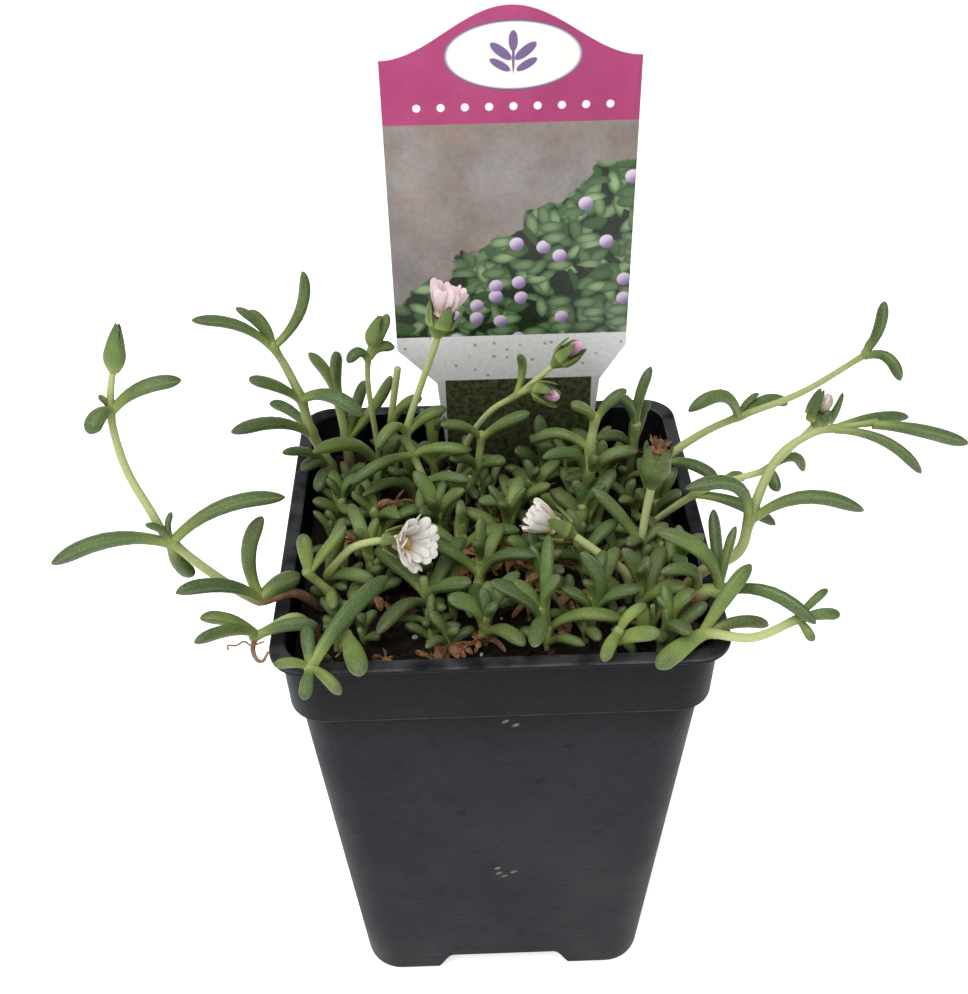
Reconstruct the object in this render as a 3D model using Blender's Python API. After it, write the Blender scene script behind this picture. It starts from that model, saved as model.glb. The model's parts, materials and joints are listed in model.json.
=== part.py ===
"""Ice plant in a square nursery pot: pot, soil, tag, leafy stems and flowers as closed solids.

Lengths below are in millimetres and become metres when a mesh is made. +Z is up, the front is -Y,
and the origin is the centre of the pot's foot, on the surface that the pot stands on.
Headings are in degrees in plan, 0 to the right (+X) and 90 to the back (+Y). A rise is the angle
above the horizontal.
"""

import math
import random
from collections import namedtuple

import bmesh
import bpy
import numpy as np
from mathutils import Vector
from mathutils.bvhtree import BVHTree

MM = 0.001
UP = Vector((0.0, 0.0, 1.0))

# Pot: half widths across the flats
POT_HEIGHT = 116.0
LIP_HALF = 44.0
LIP_THICKNESS = 1.3
COLLAR_TOP_HALF = 42.2
COLLAR_FOOT_HALF = 41.8
COLLAR_HEIGHT = 16.2
BODY_TOP_HALF = 40.2
FOOT_HALF = 33.7
WALL = 1.1
FLOOR = 1.4
LIP_CORNER = 7.3
FOOT_CORNER = 8.7
FOOT_ROUNDING = 1.5
EDGE = 0.4
LEDGE_SLOPE = 0.9
INNER_FOOT_ROUNDING = 0.8
CORNER_STEPS = 4
LEDGE_Z = POT_HEIGHT - COLLAR_HEIGHT

# Arched notch at the middle of each side of the foot, and the drain hole above it
NOTCH_HALF_TOP = 12.3
NOTCH_HALF_FLOOR = 17.2
NOTCH_HEIGHT = 6.2
NOTCH_DEPTH = 14.0
NOTCH_STEPS = 3
DRAIN_RADIUS = 3.5
DRAIN_SIDES = 16
DRAIN_TOP = 9.5
CUT_PAST = 2.0

# Soil
GAP = 0.3
SOIL_BACK = 104.0
SOIL_FRONT_RISE = 5.0
SOIL_RISE_FROM = 6.0
SOIL_RISE_RUN = 40.0
SOIL_DOME = 1.5
SOIL_LUMP = 0.4
SOIL_HALF = COLLAR_FOOT_HALF - WALL - GAP
SOIL_CORNER = LIP_CORNER - WALL - GAP
SOIL_RINGS = (1.0, 0.8, 0.55, 0.3, 0.08)

# Tag: a card whose top is one cosine swell, on a stake that narrows to a point
TAG_Y = 35.0
TAG_X = 5.5
TAG_HALF = 25.7
TAG_THICKNESS = 0.8
TAG_SHOULDER_Z = 202.0
TAG_SWELL = 10.0
TAG_CARD_FOOT_Z = 137.0
STAKE_TOP_Z = 128.0
STAKE_X = 7.0
STAKE_HALF = 18.6
STAKE_NARROW_Z = 96.0
STAKE_NARROW_HALF = 16.0
STAKE_POINT_Z = 58.0
STAKE_POINT_HALF = 1.5
TAG_TOP_STEPS = 18

# Stems: how deep they stand in the soil, their reach past the last leaves, and their holes
STEM_DEPTH = 8.0
STEM_REACH = 0.8
STEM_SIDES = 6
SHORT_SIDES = 4
STRAIGHT_ANGLE = math.radians(4.0)
STEM_HOLE_GAP = 0.35
STEM_HOLE_RISE = 7.0

# Leaves: width shares along the length, and the section as (across, up) shares of the width
LEAF_SEAT = 0.35
LEAF_ROOT_SHARE = 0.62
LEAF_RINGS = ((0.36, 0.95), (0.78, 0.86))
LEAF_SECTION = ((0.5, 0.22), (-0.5, 0.22), (0.0, -0.48))

# Free room that the layout keeps round each leaf, and the ways in which it tries to fit one
CLEARANCE = 0.45
CHAIN_STEPS = 8
FLATNESS = 0.75
TRY_TURNS = (0, 12, -12, 24, -24, 38, -38, 55, -55)
TRY_RISES = (0, 12, -10, 24, 40)
TRY_LENGTHS = (1.0, 0.82, 0.66)
TRY_NUDGES = (0.0, 1.5, 3.0, 4.5)

# Cups, buds and capsule: (share of the height, share of the half width)
CUP_PROFILE = ((0.0, 0.45), (0.4, 0.95), (1.0, 0.95))
BUD_PROFILE = ((0.0, 0.5), (0.16, 0.9), (0.34, 1.0), (0.7, 0.62))
CAPSULE_PROFILE = ((0.0, 0.4), (0.3, 0.85), (0.6, 1.0), (1.0, 0.85))
FURLED_PROFILE = ((0.0, 0.75), (0.3, 1.0), (0.7, 0.8), (1.0, 0.35))
CUP_SINK = 0.8
CUP_SIDES = 8
LOBE_COUNT = 5
LOBE_RINGS = ((0.0, 0.9), (0.55, 0.95))
LOBE_SECTION = ((0.5, 0.12), (-0.5, 0.12), (0.0, -0.28))

# Petals and stamens
SEAT_GAP = 0.3
FAR = 60.0
DISC_SHARE = 0.62
DISC_HEIGHT = 0.9
PETAL_RINGS = ((0.0, 0.32), (0.5, 0.56), (0.9, 0.9))
PETAL_THICKNESS = 0.62
STAMEN_RADIUS = 1.3
STAMEN_HEIGHT = 2.8
STAMEN_PROFILE = ((0.0, 0.55), (0.7, 1.0), (1.0, 0.6))

# Unions: facets that meet at less than this angle become one, and turns that a stem's facets may take
FLAT_ANGLE = math.radians(3.0)
WELD = 0.001 * MM
STEM_TURNS = (0.0, 0.12, -0.12, 0.3, -0.3, 0.5, 0.7, 0.05)

# Seed capsule with the dry crown on its top
CAPSULE_BASE = (32, -7, 129)
CAPSULE_TOP = (33, -6, 138)
CAPSULE_RADIUS = 3.2
CAPSULE_HEIGHT = 8.5
CROWN_SPIKES = 8

# Withered end of one low shoot, curled under itself
DRY_TENDRIL = [(-46, -37, 119), (-46.4, -39.5, 118.2), (-45.8, -40.7, 116.7), (-44.6, -41.0, 116.4),
               (-43.4, -40.7, 118.4)]

Leaf = namedtuple("Leaf", "at heading rise length width bow sideways", defaults=(3.6, 0.12, 0.0))
Shoot = namedtuple("Shoot", "name radii path leaves sides", defaults=(STEM_SIDES,))
Flower = namedtuple("Flower", "name shoot axis radius cup lobe flare petals")
Petals = namedtuple("Petals", "colour count length width flare lift", defaults=(0.0, 1.0))

# Long stems, from where they leave the soil to their last pair of leaves. A leaf is the stem point
# that it grows from, its heading, its rise, its length, its width, how far its middle bows up as a
# share of its length, and how far it bows to its left.
LONG_SHOOTS = [
    Shoot(
        "runner_left", (1.05, 0.55),
        [(-35, -16, 105), (-40, -24, 118), (-46, -29, 121), (-52, -30, 127), (-60, -30, 137),
         (-63, -29, 144), (-66, -27, 151), (-67, -26, 158), (-67, -25, 163), (-66, -24.5, 168),
         (-65, -24, 171)],
        [Leaf(2, 65, 72, 17.5, 3.2, 0.02, 0.16), Leaf(2, -145, 33, 19, 3.2), Leaf(2, 45, -2, 10, 4.0),
         Leaf(4, -161, 3, 21.5, 3.6, 0.16), Leaf(4, 20, 9, 22.5, 3.6, 0.16),
         Leaf(4, 55, -72, 11, 3.0, -0.1), Leaf(4, 0, 80, 7, 1.3), Leaf(4, -150, 55, 7, 1.6),
         Leaf(8, 13, 16, 13.5, 3.2, 0.14), Leaf(8, -110, -6, 7, 3.2, 0.2), Leaf(8, -170, 65, 3.5, 1.3)]),
    Shoot(
        "shoot_left_low", (1.0, 0.8),
        [(-35.5, -26, 106), (-39, -31, 118), (-46, -37, 119)],
        [Leaf(2, -172, 33, 11.5, 2.8), Leaf(2, -135, 30, 15, 2.6), Leaf(2, 5, 6, 12, 2.9)]),
    Shoot(
        "shoot_left_back", (1.25, 0.8),
        [(-34.5, 21, 105), (-36, 19, 117), (-39, 17, 128), (-40, 15, 138), (-42, 14, 146), (-44, 13, 152)],
        [Leaf(5, -153, 34, 19, 2.7), Leaf(5, 30, 61, 17, 2.7, -0.16), Leaf(5, 172, 52, 11, 2.0),
         Leaf(5, 165, 62, 9, 2.6), Leaf(3, -142, 40, 15, 3.1, 0.06), Leaf(3, -28, -2, 15.5, 3.3, 0.2),
         Leaf(2, 145, 16, 12, 2.8, 0.16), Leaf(2, -141, 24, 21, 3.1), Leaf(1, -132, 40, 17, 2.4),
         Leaf(1, -131, 24, 9.5, 2.8, 0.2), Leaf(1, -105, -4, 9, 3.1)]),
    Shoot(
        "shoot_back_left", (1.3, 0.9),
        [(-33, 31, 105), (-33, 29.5, 117), (-34, 29, 128)],
        [Leaf(2, 160, 62, 13, 2.9), Leaf(2, -60, 80, 14, 3.3), Leaf(1, 15, 70, 16, 2.8, 0.02),
         Leaf(1, 5, 55, 20, 2.9, -0.04)]),
    Shoot(
        "stalk_green_bud", (0.7, 0.5),
        [(-24, 27, 105), (-25, 23, 113), (-25, 17, 126), (-25.5, 14, 141), (-25, 14, 148),
         (-24, 14, 152)],
        [Leaf(4, 22, 62, 10.5, 2.6, 0.0), Leaf(4, -133, 14, 6, 2.4, 0.35), Leaf(4, 25, 6, 6, 2.4, 0.3),
         Leaf(1, -132, 38, 25, 3.3, 0.16), Leaf(1, -61, 55, 17, 3.4, 0.04)]),
    Shoot(
        "stalk_bare", (0.7, 0.8),
        [(-19, 31, 105), (-21, 28, 116), (-22, 26, 124), (-20, 26, 137)],
        [Leaf(2, -20, 45, 11, 2.6)]),
    Shoot(
        "stalk_pink_flower", (0.9, 0.65),
        [(-17, 19, 105), (-15, 12, 117), (-17, 13, 124), (-18, 13, 130), (-15, 13, 140),
         (-11, 12, 152), (-10.5, 12, 154.5)],
        [Leaf(1, -22, 15, 11.5, 2.8), Leaf(1, -97, -20, 7.5, 2.6), Leaf(2, -146, -4, 16, 3.1),
         Leaf(2, -13, 10, 13, 2.8), Leaf(3, -124, 10, 11, 2.6, 0.3), Leaf(3, 19, 22, 10, 2.8),
         Leaf(0, -126, 26, 24, 2.6, 0.2)]),
    Shoot(
        "stalk_pink_buds", (0.75, 0.6),
        [(-8, 27, 105), (-5, 24, 119), (0, 21, 129), (6, 20, 134), (11, 20, 138.5), (14, 20, 141.5)],
        [Leaf(3, -172, 55, 9.5, 2.0, 0.3)]),
    Shoot(
        "shoot_centre_back", (1.0, 0.8),
        [(-5, 22, 105), (-3, 17, 117), (-2, 16, 126)],
        [Leaf(2, -156, 32, 11.5, 2.6), Leaf(2, -11, 34, 13, 2.8, 0.06), Leaf(1, -130, 27, 12, 2.8),
         Leaf(1, -28, 27, 8, 2.8)]),
    Shoot(
        "shoot_centre_tall", (1.2, 0.9),
        [(21, 15, 106), (21, 9, 120), (21, 9, 127), (22, 10, 134)],
        [Leaf(3, -165, 40, 7.5, 2.8), Leaf(3, 19, 38, 9, 2.6), Leaf(2, 160, -6, 13.5, 2.8, 0.25),
         Leaf(1, -158, 34, 14, 2.8, 0.25), Leaf(1, 0, 29, 12, 2.9, 0.2), Leaf(1, -78, 60, 8, 2.9),
         Leaf(0, -60, 62, 12, 2.8)]),
    Shoot(
        "shoot_back_right", (1.1, 0.9),
        [(33, 29, 105), (33, 26, 114), (33, 24, 122)],
        [Leaf(2, 46, 72, 14.5, 2.8), Leaf(2, -153, 62, 11, 2.8), Leaf(1, 0, 76, 14, 2.8),
         Leaf(1, -156, 31, 12, 2.8, 0.2), Leaf(1, 60, 55, 10, 2.8)]),
    Shoot(
        "stalk_flower_left", (0.9, 0.75),
        [(-34, -10, 106), (-34, -17, 116), (-32, -18, 120), (-28.5, -18, 124), (-24, -18, 125.5),
         (-22, -17.5, 125)],
        [Leaf(1, -22, 8, 10.5, 2.9), Leaf(1, 60, 52, 12, 2.9)]),
    Shoot(
        "stalk_flower_right", (0.95, 0.85),
        [(27, -18.5, 106), (26, -19.5, 116), (20.5, -18, 120.5), (16.5, -17, 123.5), (15, -16.5, 124.5)],
        []),
    Shoot(
        "stalk_capsule", (0.85, 0.85),
        [(32, -5, 106), (30.5, -9, 115), (31, -8, 122), (32, -7, 129)],
        [Leaf(1, 149, 41, 16, 2.8, 0.06), Leaf(1, 21, 28, 7, 2.6), Leaf(1, -120, 35, 10, 2.8)]),
    Shoot(
        "runner_right", (1.0, 0.6),
        [(34, 17, 106), (38, 12, 121), (45, 11.5, 128), (53, 12, 132), (65, 10, 139), (76, 8, 149)],
        [Leaf(5, 0, 82, 12.5, 2.6, -0.1), Leaf(5, -47, -17, 9, 2.8, 0.35), Leaf(5, 20, 60, 4.5, 1.6),
         Leaf(3, -154, 22, 15, 3.1, 0.3), Leaf(3, 15, 51, 6.5, 1.6), Leaf(3, 19, 0, 12, 2.9, 0.22),
         Leaf(1, -38, 2, 13, 2.8)]),
    Shoot(
        "stalk_pale_bud", (0.8, 0.6),
        [(33, 6, 106), (38, -1, 118), (42, -4, 124), (46, -6, 128), (50, -8, 131), (55, -8, 133),
         (59, -8, 138), (63, -8, 143.6)],
        [Leaf(2, -21, -14, 17.5, 2.9, 0.1), Leaf(3, 35, -20, 8, 2.2, 0.2), Leaf(5, -83, -10, 6.5, 2.8),
         Leaf(5, 20, -22, 9.5, 2.4, 0.35)]),
    Shoot(
        "runner_right_front", (1.25, 0.55),
        [(35.5, -19.5, 106), (39.5, -23.5, 119), (47, -23, 124), (49, -21, 131), (52, -18, 139),
         (55, -17, 144), (60, -16, 147), (64, -16, 148), (71, -16, 149)],
        [Leaf(3, -168, 34, 17.5, 3.3, 0.3), Leaf(3, -8, 8, 21.5, 3.3, 0.22), Leaf(8, -7, -12, 19, 3.3, 0.05),
         Leaf(7, 20, -7, 17.5, 2.2, 0.06), Leaf(7, -21, -22, 18.5, 2.6, 0.16)]),
    Shoot(
        "shoot_right_arched", (1.4, 1.2),
        [(36, -25, 107), (39.3, -28, 118), (43, -29.5, 120)],
        [Leaf(2, 167, 43, 19, 3.3, 0.2), Leaf(1, -165, 40, 12, 2.8, 0.3), Leaf(2, -36, -9, 19.5, 3.1, 0.22),
         Leaf(2, 95, 38, 16, 2.6, 0.02), Leaf(2, 62, 27, 13.5, 2.2, 0.12)]),
    Shoot(
        "runner_right_low", (1.0, 0.8),
        [(33, -33, 108), (38, -39.5, 118.4), (47, -41, 118.4), (56, -38, 120)],
        [Leaf(3, 60, 70, 8, 1.8, 0.06), Leaf(3, 30, 32, 8, 1.8, 0.06), Leaf(3, -10, 2, 8, 2.6, 0.12),
         Leaf(3, -55, -32, 5, 2.2, 0.1),
         Leaf(1, 35, 22, 16, 3.1, 0.05), Leaf(1, -140, -1, 13, 3.8, 0.05), Leaf(1, 15, -8, 14, 2.6, 0.14)]),
    Shoot(
        "shoot_front_right", (1.0, 0.8),
        [(22, -34, 109), (21, -38, 115), (22, -39, 119)],
        [Leaf(2, -114, 4, 9, 2.8, 0.1), Leaf(2, 27, 32, 7.5, 2.6, 0.2), Leaf(1, -30, 12, 12, 3.3, 0.08)]),
    Shoot(
        "shoot_front_left", (1.1, 0.9),
        [(-34, -33, 108), (-35, -40, 117.5), (-35, -46, 119.5)],
        [Leaf(2, 53, 0, 24, 3.6, 0.1), Leaf(2, 97, 15, 8, 2.8), Leaf(2, -42, -16, 8, 2.6),
         Leaf(2, -96, -12, 7, 2.6, 0.06), Leaf(2, -165, 20, 7, 2.2)]),
    Shoot(
        "shoot_front_left_broad", (1.1, 1.0),
        [(-31, -30, 108), (-29.5, -34, 114), (-29, -38, 119.5)],
        [Leaf(2, -85, 4, 12, 4.3, 0.08)]),
    Shoot(
        "shoot_left_inner", (1.0, 0.8),
        [(-31, -17, 106), (-33.5, -21, 115), (-37, -23, 122)],
        [Leaf(2, 35, 38, 12, 2.6, 0.02), Leaf(2, 101, 44, 8, 3.4, 0.05), Leaf(1, -80, 20, 9, 2.6)]),
]

# Flowers and buds at the ends of their stalks: half width of the green cup, its height, the length
# of its five lobes, and how far the lobes' tips open as a share of the cup's half width
FLOWERS = [
    Flower("pink_flower", "stalk_pink_flower", (0.30, 0.25, 0.92), 3.0, 4.2, 3.6, 1.25,
           Petals("pink", 12, 7.4, 1.9, 4.0, 0.95)),
    Flower("flower_left", "stalk_flower_left", (0.75, -0.55, 0.35), 2.6, 3.6, 3.4, 1.35,
           Petals("white", 12, 8.5, 2.1, 6.2, 0.8)),
    Flower("flower_right", "stalk_flower_right", (-0.86, 0.10, 0.50), 3.0, 4.0, 3.8, 1.3,
           Petals("white", 12, 7.2, 1.8, 3.6, 0.95)),
    Flower("pink_bud_upper", "stalk_pink_buds", (0.72, -0.05, 0.70), 2.4, 4.4, 3.6, 1.0,
           Petals("pink_bud", 1, 4.2, 1.4)),
    Flower("pink_bud_lower", "stalk_pink_buds", (0.75, -0.62, 0.05), 2.3, 4.2, 3.4, 1.1,
           Petals("pink_bud", 1, 3.6, 1.3)),
    Flower("pale_bud", "stalk_pale_bud", (0.25, 0.0, 0.97), 2.4, 3.6, 5.4, 1.15,
           Petals("pale_bud", 1, 4.8, 1.4)),
    Flower("green_bud_left", "runner_left", (0.22, 0.0, 0.98), 2.1, 9.4, 0.0, 0.0, None),
    Flower("green_bud_back", "stalk_green_bud", (0.30, 0.05, 0.95), 1.9, 6.8, 0.0, 0.0, None),
]
LOWER_BUD_STALK = ((6, 20, 134), (9, 18.5, 136.5))

# Short shoots that fill the pot: root in plan, heading of the first pair of leaves, leaf length
SHORT_SHOOTS = [
    ("front_centre_left", -14, -22, 50, 17), ("centre_upright", -8, -5, 80, 14),
    ("centre", 2, -2, 165, 14), ("centre_back_pair", 10, 15, 124, 11),
    ("centre_right", 21, 4, 160, 13), ("front_centre", -4, -18, 75, 15),
    ("front_edge_left", -3, -31, 120, 12), ("front_edge", 10, -31, 175, 17),
    ("front_edge_right", 18, -29, 60, 15), ("front_right_inner", 28, -27, 70, 14),
    ("right_of_centre", 19, -11, 130, 13), ("middle", 7, -13, 106, 11),
    ("middle_front", 9, -21, 20, 12), ("front_right_corner", 31, -36, 10, 13),
    ("right_edge", 37, -12, 100, 12), ("right_back_edge", 37, 7, 30, 13),
    ("left_of_centre", -25, -11, 35, 14), ("centre_left", -12, 5, 64, 14),
    ("centre_far", 4, 9, 110, 12), ("left_edge", -34, 9, 194, 12),
    ("back_centre", 12, 28, 20, 12), ("right_middle", 26, 20, 45, 14),
    ("back_left", -13, 30, 150, 12), ("left_middle", -24, 6, 20, 13),
]
SHORT_SEED = 41
SHORT_STEM = 8.5
SHORT_RADII = (1.0, 0.85)
SHORT_PAIRS = 3
PAIR_RISES = (14, 32, 60)
PAIR_SHRINK = (1.0, 0.95, 0.6)
PAIR_WIDTHS = (3.4, 3.3, 2.6)


# Pot and ground

def clear_scene():
    for thing in list(bpy.data.objects):
        bpy.data.objects.remove(thing, do_unlink=True)


def material(name, colour, roughness, metallic=0.0):
    made = bpy.data.materials.new(name)
    made.use_nodes = True
    shader = made.node_tree.nodes["Principled BSDF"]
    shader.inputs["Base Color"].default_value = (*colour, 1.0)
    shader.inputs["Roughness"].default_value = roughness
    shader.inputs["Metallic"].default_value = metallic
    return made


def make_object(name, verts, faces, finish, origin=(0, 0, 0)):
    """A mesh object from millimetre points, its faces turned out, placed at its own origin."""
    origin = Vector(origin)
    mesh = bpy.data.meshes.new(name)
    mesh.from_pydata([(Vector(v) - origin) * MM for v in verts], [], faces)
    shell = bmesh.new()
    shell.from_mesh(mesh)
    bmesh.ops.recalc_face_normals(shell, faces=shell.faces)
    shell.to_mesh(mesh)
    shell.free()
    mesh.materials.append(finish)
    made = bpy.data.objects.new(name, mesh)
    made.location = origin * MM
    bpy.context.scene.collection.objects.link(made)
    return made


def skin(rings, tip=None):
    """Points and faces of a closed skin over a row of rings, ended by a cap or drawn to a tip."""
    sides = len(rings[0])
    verts = [point for ring in rings for point in ring]
    faces = [tuple(range(sides))[::-1]]
    for row in range(len(rings) - 1):
        for side in range(sides):
            after = (side + 1) % sides
            low = row * sides
            high = low + sides
            faces.append((low + side, low + after, high + after, high + side))
    last = (len(rings) - 1) * sides
    if tip is None:
        faces.append(tuple(range(last, last + sides)))
    else:
        verts.append(tip)
        faces += [(last + side, last + (side + 1) % sides, len(verts) - 1) for side in range(sides)]
    return verts, faces


def rounded_square(half, corner, z):
    """One ring of a square with round corners."""
    ring = []
    for quarter in range(4):
        for step in range(CORNER_STEPS + 1):
            angle = math.radians(90 * (quarter + step / CORNER_STEPS))
            centre = math.radians(90 * quarter + 45)
            offset = (half - corner) * math.sqrt(2.0)
            ring.append(Vector((offset * math.cos(centre) + corner * math.cos(angle),
                                offset * math.sin(centre) + corner * math.sin(angle), z)))
    return ring


def body_half(z):
    return FOOT_HALF + (BODY_TOP_HALF - FOOT_HALF) * z / LEDGE_Z


def corner_radius(z):
    return FOOT_CORNER + (LIP_CORNER - FOOT_CORNER) * z / POT_HEIGHT


def wall_ring(half, z, inset=0.0):
    return rounded_square(half - inset, corner_radius(z) - inset, z)


def inner_rings(clearance):
    """The inside of the pot from its floor to its lip, shrunk by a clearance."""
    inset = WALL + clearance
    low = FLOOR + clearance
    return [
        wall_ring(body_half(low), low, inset + INNER_FOOT_ROUNDING),
        wall_ring(body_half(low), low + INNER_FOOT_ROUNDING, inset),
        wall_ring(BODY_TOP_HALF, LEDGE_Z - LEDGE_SLOPE, inset),
        wall_ring(COLLAR_FOOT_HALF, LEDGE_Z + LEDGE_SLOPE, inset),
        wall_ring(COLLAR_TOP_HALF, POT_HEIGHT - EDGE, inset),
    ]


def notch_outline(grow):
    """Half of the notch's arch, as (across, up) from its top down past the floor, grown by a wall."""
    outline = []
    for step in range(NOTCH_STEPS + 1):
        share = step / NOTCH_STEPS
        across = NOTCH_HALF_TOP + (NOTCH_HALF_FLOOR - NOTCH_HALF_TOP) * share
        up = NOTCH_HEIGHT / 2 * (1 + math.cos(math.pi * share))
        outline.append((across + grow, up + grow))
    outline.append((NOTCH_HALF_FLOOR + grow, -CUT_PAST))
    return outline


def notch_blocks(name, grow, near, far, bottom, finish):
    """Four prisms of the notch's outline, one through the middle of each side."""
    half = notch_outline(grow)
    outline = half + [(-across, up) for across, up in reversed(half)]
    outline = [(across, max(up, bottom)) for across, up in outline]
    blocks = []
    for quarter in range(4):
        angle = math.radians(90 * quarter)
        out = Vector((math.cos(angle), math.sin(angle), 0))
        side = Vector((-math.sin(angle), math.cos(angle), 0))
        rings = [[out * reach + side * across + UP * up for across, up in outline] for reach in (near, far)]
        blocks.append(make_object(f"{name}_{quarter}", *skin(rings), finish))
    return blocks


def prism(name, start, end, radius, sides, finish):
    axis = (end - start).normalized()
    rings = [circle(centre, axis, radius, sides) for centre in (start, end)]
    return make_object(name, *skin(rings), finish)


def combine(target, tools, operation, solver="EXACT"):
    """One Boolean of an object with several others, applied, the others then removed."""
    group = bpy.data.collections.new("tools")
    bpy.context.scene.collection.children.link(group)
    for tool in tools:
        bpy.context.scene.collection.objects.unlink(tool)
        group.objects.link(tool)
    modifier = target.modifiers.new("join", "BOOLEAN")
    modifier.operation = operation
    modifier.operand_type = "COLLECTION"
    modifier.collection = group
    modifier.solver = solver
    graph = bpy.context.evaluated_depsgraph_get()
    mesh = bpy.data.meshes.new_from_object(target.evaluated_get(graph))
    target.modifiers.clear()
    target.data = mesh
    for tool in tools:
        bpy.data.objects.remove(tool, do_unlink=True)
    bpy.data.collections.remove(group)


def shade(thing, angle):
    thing.data.shade_smooth()
    thing.data.set_sharp_from_angle(angle=math.radians(angle))


def build_pot():
    """One moulded shell: outside from the foot up, over the lip, and down the inside to the floor."""
    plastic = material("pot_plastic", (0.018, 0.018, 0.021), 0.5)
    lip_under = POT_HEIGHT - LIP_THICKNESS
    outside = [
        wall_ring(FOOT_HALF, 0.0, FOOT_ROUNDING),
        wall_ring(FOOT_HALF, FOOT_ROUNDING * 0.3, FOOT_ROUNDING * 0.3),
        wall_ring(body_half(FOOT_ROUNDING), FOOT_ROUNDING),
        wall_ring(BODY_TOP_HALF, LEDGE_Z - EDGE),
        wall_ring(COLLAR_FOOT_HALF, LEDGE_Z, EDGE),
        wall_ring(COLLAR_FOOT_HALF, LEDGE_Z + EDGE),
        wall_ring(COLLAR_TOP_HALF, lip_under - EDGE),
        wall_ring(LIP_HALF, lip_under, EDGE),
        wall_ring(LIP_HALF, lip_under + EDGE),
        wall_ring(LIP_HALF, POT_HEIGHT - EDGE),
        wall_ring(LIP_HALF, POT_HEIGHT, EDGE),
        wall_ring(COLLAR_TOP_HALF, POT_HEIGHT, WALL - EDGE),
    ]
    pot = make_object("pot", *skin(outside + inner_rings(0.0)[::-1]), plastic)
    bumps = notch_blocks("bump", WALL, FOOT_HALF - EDGE, FOOT_HALF - NOTCH_DEPTH - WALL, FLOOR / 2, plastic)
    combine(pot, bumps, "UNION")
    cutters = notch_blocks("notch", 0.0, FOOT_HALF + CUT_PAST, FOOT_HALF - NOTCH_DEPTH, -CUT_PAST, plastic)
    reach = FOOT_HALF - NOTCH_DEPTH / 2
    for x, y in ((reach, 0), (-reach, 0), (0, reach), (0, -reach)):
        low = Vector((x, y, NOTCH_HEIGHT - CUT_PAST))
        high = Vector((x, y, DRAIN_TOP))
        cutters.append(prism("drain", low, high, DRAIN_RADIUS, DRAIN_SIDES, plastic))
    combine(pot, cutters, "DIFFERENCE")
    shade(pot, 35)


def soil_top(x, y):
    """Height of the soil: higher along the front, a low dome and small lumps."""
    forward = min(max((SOIL_RISE_FROM - y) / SOIL_RISE_RUN, 0.0), 1.0)
    rise = SOIL_FRONT_RISE * forward * forward * (3 - 2 * forward)
    dome = SOIL_DOME * (1 - (x / SOIL_HALF) ** 2) * (1 - (y / SOIL_HALF) ** 2)
    lumps = SOIL_LUMP * (math.sin(0.52 * x + 1.0) * math.cos(0.47 * y) + math.sin(0.31 * y - 0.23 * x))
    return SOIL_BACK + rise + dome + lumps


def build_soil(shoots):
    """The filling: it stands 0.3 mm clear of the pot, with a plain hole for each stem and the stake."""
    peat = material("soil_peat", (0.035, 0.022, 0.014), 0.95)
    rings = inner_rings(GAP)[:4]
    for share in SOIL_RINGS:
        ring = rounded_square(SOIL_HALF * share, SOIL_CORNER * share, 0.0)
        rings.append([Vector((p.x, p.y, soil_top(p.x, p.y))) for p in ring])
    soil = make_object("soil", *skin(rings), peat)
    tools = notch_blocks("bump", WALL + GAP, FOOT_HALF, FOOT_HALF - NOTCH_DEPTH - WALL - GAP, 0.0, peat)
    for shoot in shoots:
        foot = Vector(shoot.path[0])
        axis = root_axis(shoot)
        start = foot - axis * (STEM_DEPTH + GAP)
        end = foot + axis * STEM_HOLE_RISE
        radius = shoot.radii[0] + STEM_HOLE_GAP / math.cos(math.pi / shoot.sides)
        tools.append(prism("hole", start, end, radius, shoot.sides, peat))
    slot = tag_outline(GAP)
    rings = [[Vector((x, y, z)) for x, z in slot] for y in (TAG_Y - TAG_THICKNESS / 2 - GAP,
                                                            TAG_Y + TAG_THICKNESS / 2 + GAP)]
    tools.append(make_object("slot", *skin(rings), peat))
    combine(soil, tools, "DIFFERENCE")
    shade(soil, 40)


def tag_outline(grow=0.0):
    """The tag's outline as (x, z), clockwise from the stake's point, grown by a clearance."""
    right = [(STAKE_X + STAKE_NARROW_HALF + grow, STAKE_NARROW_Z), (STAKE_X + STAKE_HALF + grow, STAKE_TOP_Z),
             (TAG_X + TAG_HALF + grow, TAG_CARD_FOOT_Z)]
    top = []
    for index in range(TAG_TOP_STEPS + 1):
        x = TAG_HALF * (1 - 2 * index / TAG_TOP_STEPS)
        swell = TAG_SWELL * (1 + math.cos(math.pi * x / TAG_HALF)) / 2
        top.append((TAG_X + x * (TAG_HALF + grow) / TAG_HALF, TAG_SHOULDER_Z + swell + grow))
    left = [(TAG_X - TAG_HALF - grow, TAG_CARD_FOOT_Z), (STAKE_X - STAKE_HALF - grow, STAKE_TOP_Z),
            (STAKE_X - STAKE_NARROW_HALF - grow, STAKE_NARROW_Z)]
    point = [(STAKE_X + x, STAKE_POINT_Z - grow) for x in (-STAKE_POINT_HALF, STAKE_POINT_HALF)]
    return point + right + top + left


def build_tag():
    card = material("tag_card", (0.62, 0.62, 0.60), 0.4)
    rings = [[Vector((x, y, z)) for x, z in tag_outline()] for y in (TAG_Y - TAG_THICKNESS / 2,
                                                                    TAG_Y + TAG_THICKNESS / 2)]
    make_object("tag", *skin(rings), card)


# Stems

def circle(centre, axis, radius, sides, turn=0.0):
    across = axis.orthogonal().normalized()
    other = axis.cross(across)
    angles = [turn + 2 * math.pi * side / sides for side in range(sides)]
    return [centre + across * (radius * math.cos(a)) + other * (radius * math.sin(a)) for a in angles]


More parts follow.
